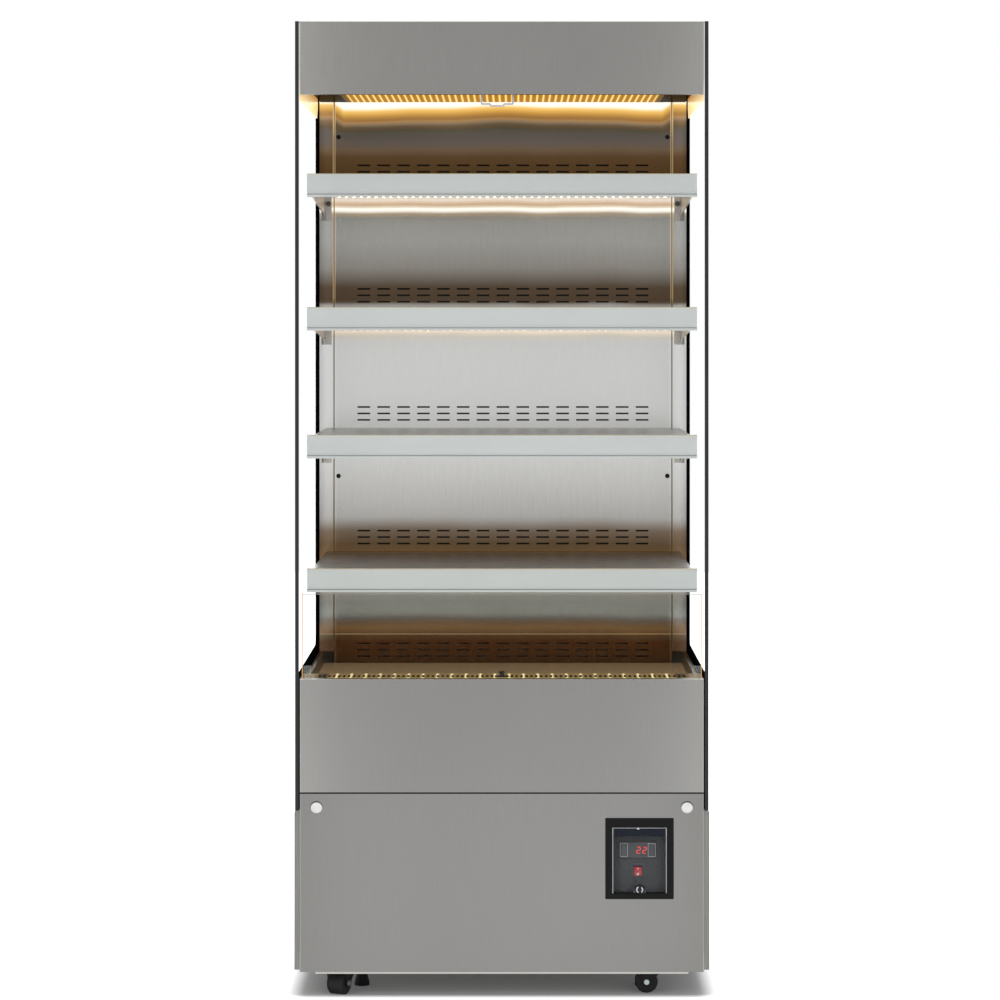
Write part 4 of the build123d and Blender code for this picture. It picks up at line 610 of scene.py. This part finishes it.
# Painted light: the top edge is gold.
guard_lit_top = guard.axis("Z") > guard_high.z - edge_depth
guard.feed("Base Color", guard.blend(guard_lit_top, (0.75, 0.42, 0.14, 1), (0.20, 0.18, 0.15, 1)))
see_through(guard, (0.975, 0.985, 0.98, 1), 0.0, side_edges.least(guard_lit_top))
guard.cover("riser_glass")
clip_plastic = Finish("clip_plastic", {"Roughness": 0.2, "Base Color": (0.7, 0.7, 0.68, 1)})
see_through(clip_plastic, (0.86, 0.86, 0.84, 1), 0.1, clip_plastic.noise((30, 30, 30)) * 0.3)
clip_plastic.cover("riser_clips")

# Night curtain: a spring roller under the lid with a metallised film on it, an aluminium bar at the
# film's end and a bent white wire to pull it by. The film is cut 664 mm wide and 1.18 m long.
film_width = 0.664
core_radius = 0.0165
wound_radius = 0.02225
roller_low, roller_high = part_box("curtain_roller")
roller_y = (roller_low.y + roller_high.y) / 2
roller_z = (roller_low.z + roller_high.z) / 2
bar_low, bar_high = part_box("curtain_bar")
in_bar = 0.001
turns = 9.25
wound = np.linspace(0, 2 * np.pi * turns, 560)
spiral = core_radius + (wound_radius - core_radius) * wound / wound[-1]
tail = np.linspace(roller_z, bar_high.z - in_bar, 60)[1:]
run_y = np.concatenate([roller_y + spiral * np.cos(wound + np.pi - wound[-1]),
                        np.full(tail.shape, roller_y - wound_radius)])
run_z = np.concatenate([roller_z + spiral * np.sin(wound + np.pi - wound[-1]), tail])
across = np.linspace(-film_width / 2, film_width / 2, 13)
film_points = np.stack([np.broadcast_to(across[None], (len(run_y), len(across))),
                        np.broadcast_to(run_y[:, None], (len(run_y), len(across))),
                        np.broadcast_to(run_z[:, None], (len(run_y), len(across)))], -1)
row = np.arange(len(run_y) - 1)[:, None] * len(across)
column = np.arange(len(across) - 1)[None]
film_faces = np.stack([row + column, row + column + 1, row + column + len(across) + 1,
                       row + column + len(across)], -1).reshape(-1, 4)
film = Finish("metallised_film", {"Metallic": 0.8})
film.feed("Base Color", film.blend(film.noise((240, 240, 240)), (0.315, 0.315, 0.323, 1),
                                   (0.413, 0.413, 0.420, 1)))
film.feed("Roughness", 0.32 + 0.15 * film.noise((90, 90, 90)))
film.bump(film.noise((700, 700, 700)) * 0.00001)
night_film = add_piece("night_curtain_film", film_points.reshape(-1, 3), film_faces, film, None,
                       "curtain_film")
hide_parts("curtain_sheet")
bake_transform(night_film)

roller_finish = brushed("roller_tube_steel", (0.300, 0.300, 0.307, 1), (0.413, 0.413, 0.420, 1),
                        (20, 300, 300), 0.42)
roller_finish.cover("curtain_roller")
bar_aluminium = brushed("bar_aluminium", (0.413, 0.413, 0.405, 1), (0.540, 0.540, 0.532, 1),
                        (5, 900, 900), 0.3)
bar_aluminium.cover("curtain_bar")
wire_coat = Finish("white_wire_coat", {"Roughness": 0.3, "Coat Weight": 0.3})
wire_coat.feed("Base Color", wire_coat.blend(wire_coat.noise((200, 200, 200)),
                                             (0.66, 0.65, 0.72, 1), (0.76, 0.75, 0.82, 1)))
wire_coat.cover("curtain_handle")

# Control box: a black moulded bezel with a deep recess for the controller and a lit rocker switch,
# behind a clear flap that swings up. The readout's digits are lit bars under its window.
moulded_black = Finish("moulded_black", {"Specular IOR Level": 0.08})
moulded_black.feed("Base Color", moulded_black.blend(
    moulded_black.noise((260, 260, 260)), (0.006, 0.006, 0.006, 1), (0.010, 0.010, 0.010, 1)))
moulded_black.feed("Roughness", 0.36 + 0.12 * moulded_black.noise((700, 700, 700)))
moulded_black.bump(moulded_black.noise((1500, 1500, 1500)) * 0.000003)
controller_stands = 0.0022
recess_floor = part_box("controller")[0].y + controller_stands
switch_low, switch_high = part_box("rocker_switch")
switch_middle = (switch_low + switch_high) / 2
collar_half_x, collar_half_z, collar_depth = 0.014, 0.016, 0.006
by_switch = ((abs(moulded_black.axis("X") - switch_middle.x) < collar_half_x)
             * (abs(moulded_black.axis("Z") - switch_middle.z) < collar_half_z)
             * (moulded_black.axis("Y") > recess_floor - collar_depth))
# Painted sheen: the recess floor and switch collar are lighter, for the clear cover's haze.
cover_sheen = (moulded_black.axis("Y") > recess_floor).least(by_switch)
moulded_black.tint(moulded_black.blend(cover_sheen, (1, 1, 1, 1), (12.5, 12.8, 13.1, 1)))
moulded_black.cover("control_bezel")
controller_face = Finish("controller_face", {"Roughness": 0.32})
controller_face.feed("Base Color", controller_face.blend(
    controller_face.noise((200, 200, 200)), (0.060, 0.060, 0.063, 1), (0.078, 0.078, 0.082, 1)))
controller_face.cover("controller")
key_rubber = Finish("key_rubber", {"Roughness": 0.5})
key_rubber.feed("Base Color", key_rubber.blend(key_rubber.noise((500, 500, 500)),
                                               (0.07, 0.07, 0.072, 1), (0.10, 0.10, 0.104, 1)))
key_rubber.cover("key_left", "key_right")

readout_low, readout_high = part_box("controller")
face_y = readout_low.y
window_depth = 0.0008
digit_y = face_y + window_depth
digit_centres = (0.2343, 0.2447)
digit_middle = 0.2544
digit_width = 0.0058
digit_height = 0.0102
digit_slant = 0.12
bar_breadth = 0.0011
bar_thickness = 0.0002
half_digit = digit_height / 2


def digit_bars(centre):
    """The five lit bars of a two: across the top, middle and foot, and down the upper right and
    lower left, each a thin box on the readout's window."""
    across_half, bar_half = digit_width / 2, bar_breadth / 2
    middles = np.array([(centre, digit_middle + half_digit), (centre, digit_middle),
                        (centre, digit_middle - half_digit),
                        (centre + across_half, digit_middle + half_digit / 2),
                        (centre - across_half, digit_middle - half_digit / 2)])
    halves = np.array([(across_half - bar_half, bar_half)] * 3
                      + [(bar_half, half_digit / 2 - bar_half)] * 2)
    low = np.column_stack([middles[:, 0] - halves[:, 0], np.full(5, digit_y - bar_thickness),
                           middles[:, 1] - halves[:, 1]])
    high = np.column_stack([middles[:, 0] + halves[:, 0], np.full(5, digit_y),
                            middles[:, 1] + halves[:, 1]])
    return low, high


digit_corners = [digit_bars(centre) for centre in digit_centres]
digit_points, digit_faces = boxes(np.vstack([low for low, high in digit_corners]),
                                  np.vstack([high for low, high in digit_corners]))
digit_points[:, 0] += digit_slant * (digit_points[:, 2] - digit_middle)
digit_glow = Finish("digit_glow", {"Base Color": (0.8, 0.03, 0.03, 1), "Roughness": 0.4})
digit_glow.feed("Emission Color", digit_glow.blend(digit_glow.noise((900, 900, 900)),
                                                   (0.92, 0.035, 0.03, 1), (1.0, 0.07, 0.06, 1)))
digit_glow.surface.inputs["Emission Strength"].default_value = 1.0
add_piece("readout_digits", digit_points, digit_faces, digit_glow, "cabinet", "red_plastic", False)

# Light outlines printed on the controller round its keys, as thin raised frames.
frame_breadth = 0.0009
frame_height = 0.0003
frame_beside, frame_above = 0.0016, 0.0018
key_frames = []
for node in ("key_left", "key_right"):
    low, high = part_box(node)
    left, right = low.x - frame_beside, high.x + frame_beside
    foot, top = low.z - frame_above, high.z + frame_above
    key_frames += [((left, foot), (left + frame_breadth, top)),
                   ((right - frame_breadth, foot), (right, top)),
                   ((left + frame_breadth, top - frame_breadth), (right - frame_breadth, top)),
                   ((left + frame_breadth, foot), (right - frame_breadth, foot + frame_breadth))]
corners = np.array(key_frames)
frame_low = np.column_stack([corners[:, 0, 0], np.full(len(corners), face_y - frame_height),
                             corners[:, 0, 1]])
frame_high = np.column_stack([corners[:, 1, 0], np.full(len(corners), face_y), corners[:, 1, 1]])
print_grey = Finish("printed_grey", {"Roughness": 0.5})
print_grey.feed("Base Color", print_grey.blend(print_grey.noise((400, 400, 400)),
                                               (0.40, 0.41, 0.40, 1), (0.55, 0.56, 0.55, 1)))
add_piece("controller_key_outlines", *boxes(frame_low, frame_high), print_grey, "cabinet",
          "black_plastic", False)

outline_breadth = 0.0005
outline_beside, outline_above = 0.0006, 0.0012
collar_step = 0.003
collar_corners = (0.2220, 0.2055, 0.2446, 0.2312)
outer_frames = [(readout_low.x + outline_beside, readout_low.z + outline_above,
                 readout_high.x - outline_beside, readout_high.z - outline_above, face_y),
                (*collar_corners, face_y + collar_step)]
outer_low, outer_high = [], []
for left, foot, right, top, y in outer_frames:
    for x0, z0, x1, z1 in ((left, foot, left + outline_breadth, top),
                           (right - outline_breadth, foot, right, top),
                           (left + outline_breadth, top - outline_breadth,
                            right - outline_breadth, top),
                           (left + outline_breadth, foot, right - outline_breadth,
                            foot + outline_breadth)):
        outer_low.append((x0, y - frame_height, z0))
        outer_high.append((x1, y, z1))
dim_edge = Finish("moulded_edge", {"Roughness": 0.4})
dim_edge.feed("Base Color", dim_edge.blend(dim_edge.noise((400, 400, 400)),
                                           (0.13, 0.13, 0.135, 1), (0.20, 0.20, 0.205, 1)))
add_piece("control_box_outlines", *boxes(np.array(outer_low), np.array(outer_high)), dim_edge,
          "cabinet", "black_plastic", False)

# Rocker: translucent red, lit from inside while the case is on, with a bar and a ring moulded in.
rocker_red = Finish("rocker_red", {"Roughness": 0.25, "Coat Weight": 0.4})
rocker_red.feed("Base Color", rocker_red.blend(rocker_red.noise((300, 300, 300)),
                                               (0.30, 0.008, 0.014, 1), (0.42, 0.014, 0.02, 1)))
rocker_red.feed("Emission Color", rocker_red.blend(rocker_red.noise((120, 120, 120)),
                                                   (0.30, 0.012, 0.02, 1), (0.60, 0.03, 0.04, 1)))
rocker_red.surface.inputs["Emission Strength"].default_value = 0.2
mark_off = 0.0048
mark_half_width, mark_half_length = 0.0007, 0.0018
ring_radius, ring_half = 0.0016, 0.0006
rocker_half_x, rocker_half_z = 0.0072, 0.0071
across = abs(rocker_red.axis("X") - switch_middle.x)
along = rocker_red.axis("Z") - switch_middle.z
on_bar = (across < mark_half_width) * (abs(along - mark_off) < mark_half_length)
on_ring = abs((across ** 2 + (along + mark_off) ** 2) ** 0.5 - ring_radius) < ring_half
marks = on_bar.least(on_ring)
shaded = (across > rocker_half_x).least(abs(along) > rocker_half_z)
rocker_red.tint(rocker_red.blend(shaded, (1, 1, 1, 1), (0.25, 0.2, 0.2, 1)))
rocker_red.feed("Base Color", rocker_red.blend(marks, rocker_red.base(), (0.7, 0.66, 0.66, 1)))
rocker_red.cover("rocker_switch")

# Clear cover: moulded acrylic with a darker band behind its hinge, ground edges that look pale, and a
# domed finger tab at the foot.
cover_low, cover_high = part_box("control_cover")
hinge_band = 0.281
cover_edge = 0.0011
cover_wall = 0.003
clip_highlight_half, clip_highlight_height = 0.0016, 0.0028
tab_sweep = 0.0035
acrylic = Finish("clear_acrylic", {"Roughness": 0.1, "Specular IOR Level": 0.1})
rim = ((acrylic.axis("X") < cover_low.x + cover_wall + cover_edge)
       + (acrylic.axis("X") > cover_high.x - cover_wall - cover_edge)
       + (acrylic.axis("Z") > cover_high.z - cover_edge)).most(1.0)
band = acrylic.axis("Z") > hinge_band
tab = acrylic.axis("Y") < cover_low.y + tab_sweep
# Painted highlight: a pale spot at the top of the cover, over the clip.
clip_highlight = ((abs(acrylic.axis("X") - switch_middle.x) < clip_highlight_half)
        * (acrylic.axis("Z") > cover_high.z - clip_highlight_height))
cover_colour = acrylic.blend(rim, (0.007, 0.010, 0.018, 1), (0.46, 0.47, 0.48, 1))
acrylic.feed("Base Color", acrylic.blend(clip_highlight, acrylic.blend(tab, cover_colour, (0.010, 0.010, 0.011, 1)),
                                         (0.85, 0.85, 0.85, 1)))
acrylic.feed("Coat Weight", tab * 0.25)
tab_x = (cover_low.x + cover_high.x) / 2
tab_z = cover_low.z + 0.0068
crescent_radius, crescent_half, crescent_gap, crescent_shift = 0.0049, 0.0010, 0.0026, 0.0005
outer_radius, outer_half, outer_gap = 0.0104, 0.0006, 0.004
dome_rise, dome_radius, dome_height = 0.005, 0.0115, 0.007
# Painted highlights: bright crescents and a faint outer ring on the finger tab.
tab_reach = ((acrylic.axis("X") - tab_x) ** 2 + (acrylic.axis("Z") - tab_z) ** 2) ** 0.5
crescents = ((abs(tab_reach - crescent_radius) < crescent_half)
             * (abs(acrylic.axis("X") - tab_x - crescent_shift) > crescent_gap))
outer_ring = ((abs(tab_reach - outer_radius) < outer_half)
              * (abs(acrylic.axis("X") - tab_x) > outer_gap) * 0.25)
glint = crescents + outer_ring
acrylic.tint(acrylic.blend(tab * glint.most(1.0), (1, 1, 1, 1), (60.0, 60.0, 62.0, 1)))
tab_off = ((acrylic.axis("X") - tab_x) ** 2
           + (acrylic.axis("Z") - cover_low.z - dome_rise) ** 2)
acrylic.bump(tab * (1.0 - tab_off * (1 / dome_radius ** 2)).least(0.0) ** 0.5 * dome_height)
see_through(acrylic, (0.93, 0.935, 0.94, 1), 0.05,
            (rim * 0.7).least(band * 0.97).least(tab).least(clip_highlight))
acrylic.cover("control_cover")

# Casters: black painted plates and forks with zinc plated axle bolts, and black rubber wheels.
# Levelling feet: zinc rods and nuts with black rubber bells, screwed into the pan.
bolt_radius = 0.0047
fork_half = 0.0181
for corner in ("front_left", "front_right", "rear_left", "rear_right"):
    wheel_low, wheel_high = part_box(f"caster_wheel_{corner}")
    hub = (wheel_low + wheel_high) / 2
    fork_paint = Finish(f"fork_paint_{corner}", {"Specular IOR Level": 0.12})
    spread = fork_paint.stretched((1, 1, 1), tuple(hub))
    joint = [j for j in frame["joints"] if j["name"] == f"wheel_spin_{corner}"][0]
    along = fork_paint.node("ShaderNodeVectorMath", {"operation": "DOT_PRODUCT"},
                            {0: spread, 1: tuple(joint["axis"])}, output=1)
    reach = fork_paint.node("ShaderNodeVectorMath", {"operation": "LENGTH"}, {0: spread}, output=1)
    off_axis = (reach ** 2 - along ** 2) ** 0.5
    bolt = (off_axis < bolt_radius) * (abs(along) > fork_half)
    fork_paint.feed("Base Color", fork_paint.blend(bolt, (0.012, 0.012, 0.013, 1),
                                                   (0.36, 0.40, 0.41, 1)))
    fork_paint.feed("Metallic", bolt)
    fork_paint.feed("Roughness", 0.38 + 0.1 * fork_paint.noise((160, 160, 160)))
    fork_paint.cover(f"caster_fork_{corner}")
plate_paint = Finish("plate_paint", {"Specular IOR Level": 0.12})
plate_paint.feed("Base Color", plate_paint.blend(plate_paint.noise((160, 160, 160)),
                                                 (0.010, 0.010, 0.011, 1), (0.022, 0.022, 0.023, 1)))
plate_paint.cover("caster_plates")
black_rubber = Finish("black_rubber", {"Specular IOR Level": 0.15})
black_rubber.feed("Base Color", black_rubber.blend(black_rubber.noise((220, 220, 220)),
                                                   (0.010, 0.010, 0.011, 1), (0.028, 0.028, 0.029, 1)))
black_rubber.feed("Roughness", 0.5 + 0.2 * black_rubber.noise((90, 90, 90)))
black_rubber.cover("caster_wheel_front_left", "caster_wheel_front_right", "caster_wheel_rear_left",
                   "caster_wheel_rear_right")
bell_top = 0.023
rod_zone = Finish("foot_rubber_and_rod", {"Specular IOR Level": 0.15})
on_rod = rod_zone.axis("Z") > bell_top
rod_zone.feed("Base Color", rod_zone.blend(on_rod, (0.016, 0.016, 0.017, 1), (0.45, 0.45, 0.46, 1)))
rod_zone.feed("Metallic", on_rod)
rod_zone.feed("Roughness", 0.55 - on_rod * 0.25)
thread = rod_zone.node("ShaderNodeTexWave", {"bands_direction": "Z"},
                       {"Vector": rod_zone.stretched((1, 1, 90)), "Scale": 1.0})
rod_zone.bump(thread * on_rod * 0.0002)
rod_zone.cover("foot_left", "foot_right")

# Studio: a pale floor that keeps the case's shadow, with more shadow painted under the case, a white
# surround, and soft lamps at a level at which a colour renders about as it is written.
floor_points = np.array([(-9.0, -8.0, 0.0), (9.0, -8.0, 0.0), (9.0, 9.0, 0.0), (-9.0, 9.0, 0.0)])
floor_mesh = bpy.data.meshes.new("floor")
floor_mesh.from_pydata(floor_points.tolist(), [], [(0, 1, 2, 3)])
floor = bpy.data.objects.new("floor", floor_mesh)
bpy.context.scene.collection.objects.link(floor)
floor_paint = Finish("floor_paint", {"Roughness": 0.9, "Specular IOR Level": 0.0})
# Painted shadow: under the case the floor's colour is darker and its glow fades out.
under_half_x, under_half_y, under_y = 0.330, 0.274, 0.01
past_x = (abs(floor_paint.axis("X")) - under_half_x).least(0.0)
past_y = (abs(floor_paint.axis("Y") - under_y) - under_half_y).least(0.0)
clear_of_shadow = (((past_x * 0.85) ** 2 + past_y ** 2) ** 0.5 * 24.0).most(1.0)
floor_paint.feed("Base Color", floor_paint.blend(clear_of_shadow, (0.46, 0.46, 0.46, 1),
                                                 (0.75, 0.75, 0.75, 1)))
camera_ray, glossy_ray, clear_ray = [
    floor_paint.node("ShaderNodeLightPath", output=ray)
    for ray in ("Is Camera Ray", "Is Glossy Ray", "Is Transmission Ray")]
floor_paint.glow((clear_of_shadow * clear_of_shadow).least(0.06) * camera_ray.least(glossy_ray).least(clear_ray),
                 (0.95, 0.95, 0.95, 1))
floor_mesh.materials.append(floor_paint.material)

surround = bpy.data.worlds.new("surround")
surround.use_nodes = True
bpy.context.scene.world = surround
air = surround.node_tree
path = air.nodes.new("ShaderNodeLightPath")
seen = path.outputs["Is Camera Ray"]
for ray in ("Is Glossy Ray", "Is Transmission Ray"):
    also = air.nodes.new("ShaderNodeMath")
    also.operation = "MAXIMUM"
    air.links.new(seen, also.inputs[0])
    air.links.new(path.outputs[ray], also.inputs[1])
    seen = also.outputs[0]
plain = air.nodes.new("ShaderNodeBackground")
plain.inputs["Color"].default_value = (0.98, 0.985, 1.0, 1)
plain.inputs["Strength"].default_value = 0.62
white = air.nodes.new("ShaderNodeBackground")
white.inputs["Color"].default_value = (1, 1, 1, 1)
white.inputs["Strength"].default_value = 1.0
either = air.nodes.new("ShaderNodeMixShader")
air.links.new(seen, either.inputs[0])
air.links.new(plain.outputs[0], either.inputs[1])
air.links.new(white.outputs[0], either.inputs[2])
air.links.new(either.outputs[0], air.nodes["World Output"].inputs["Surface"])


def lamp(name, place, target, size, power, colour):
    """A rectangular area lamp at a place, turned towards a target."""
    light = bpy.data.lights.new(name, "AREA")
    light.shape = "RECTANGLE"
    light.size, light.size_y = size
    light.energy = power
    light.color = colour
    holder = bpy.data.objects.new(name, light)
    direction = Vector(target) - Vector(place)
    holder.location = place
    holder.rotation_euler = direction.to_track_quat("-Z", "Y").to_euler()
    bpy.context.scene.collection.objects.link(holder)


lamp("key", (-3.2, -4.6, 3.4), (0, 0, 0.9), (2.4, 2.4), 90, (1.0, 0.985, 0.96))
lamp("fill", (3.6, -4.2, 2.4), (0, 0, 0.8), (2.4, 2.4), 60, (0.97, 0.985, 1.0))
lamp("top", (0, -0.5, 4.5), (0, 0, 0), (3.0, 3.0), 60, (1.0, 1.0, 1.0))
lamp("behind", (0.5, 5.0, 2.6), (0, 0, 0.9), (3.0, 2.4), 60, (1.0, 1.0, 1.0))
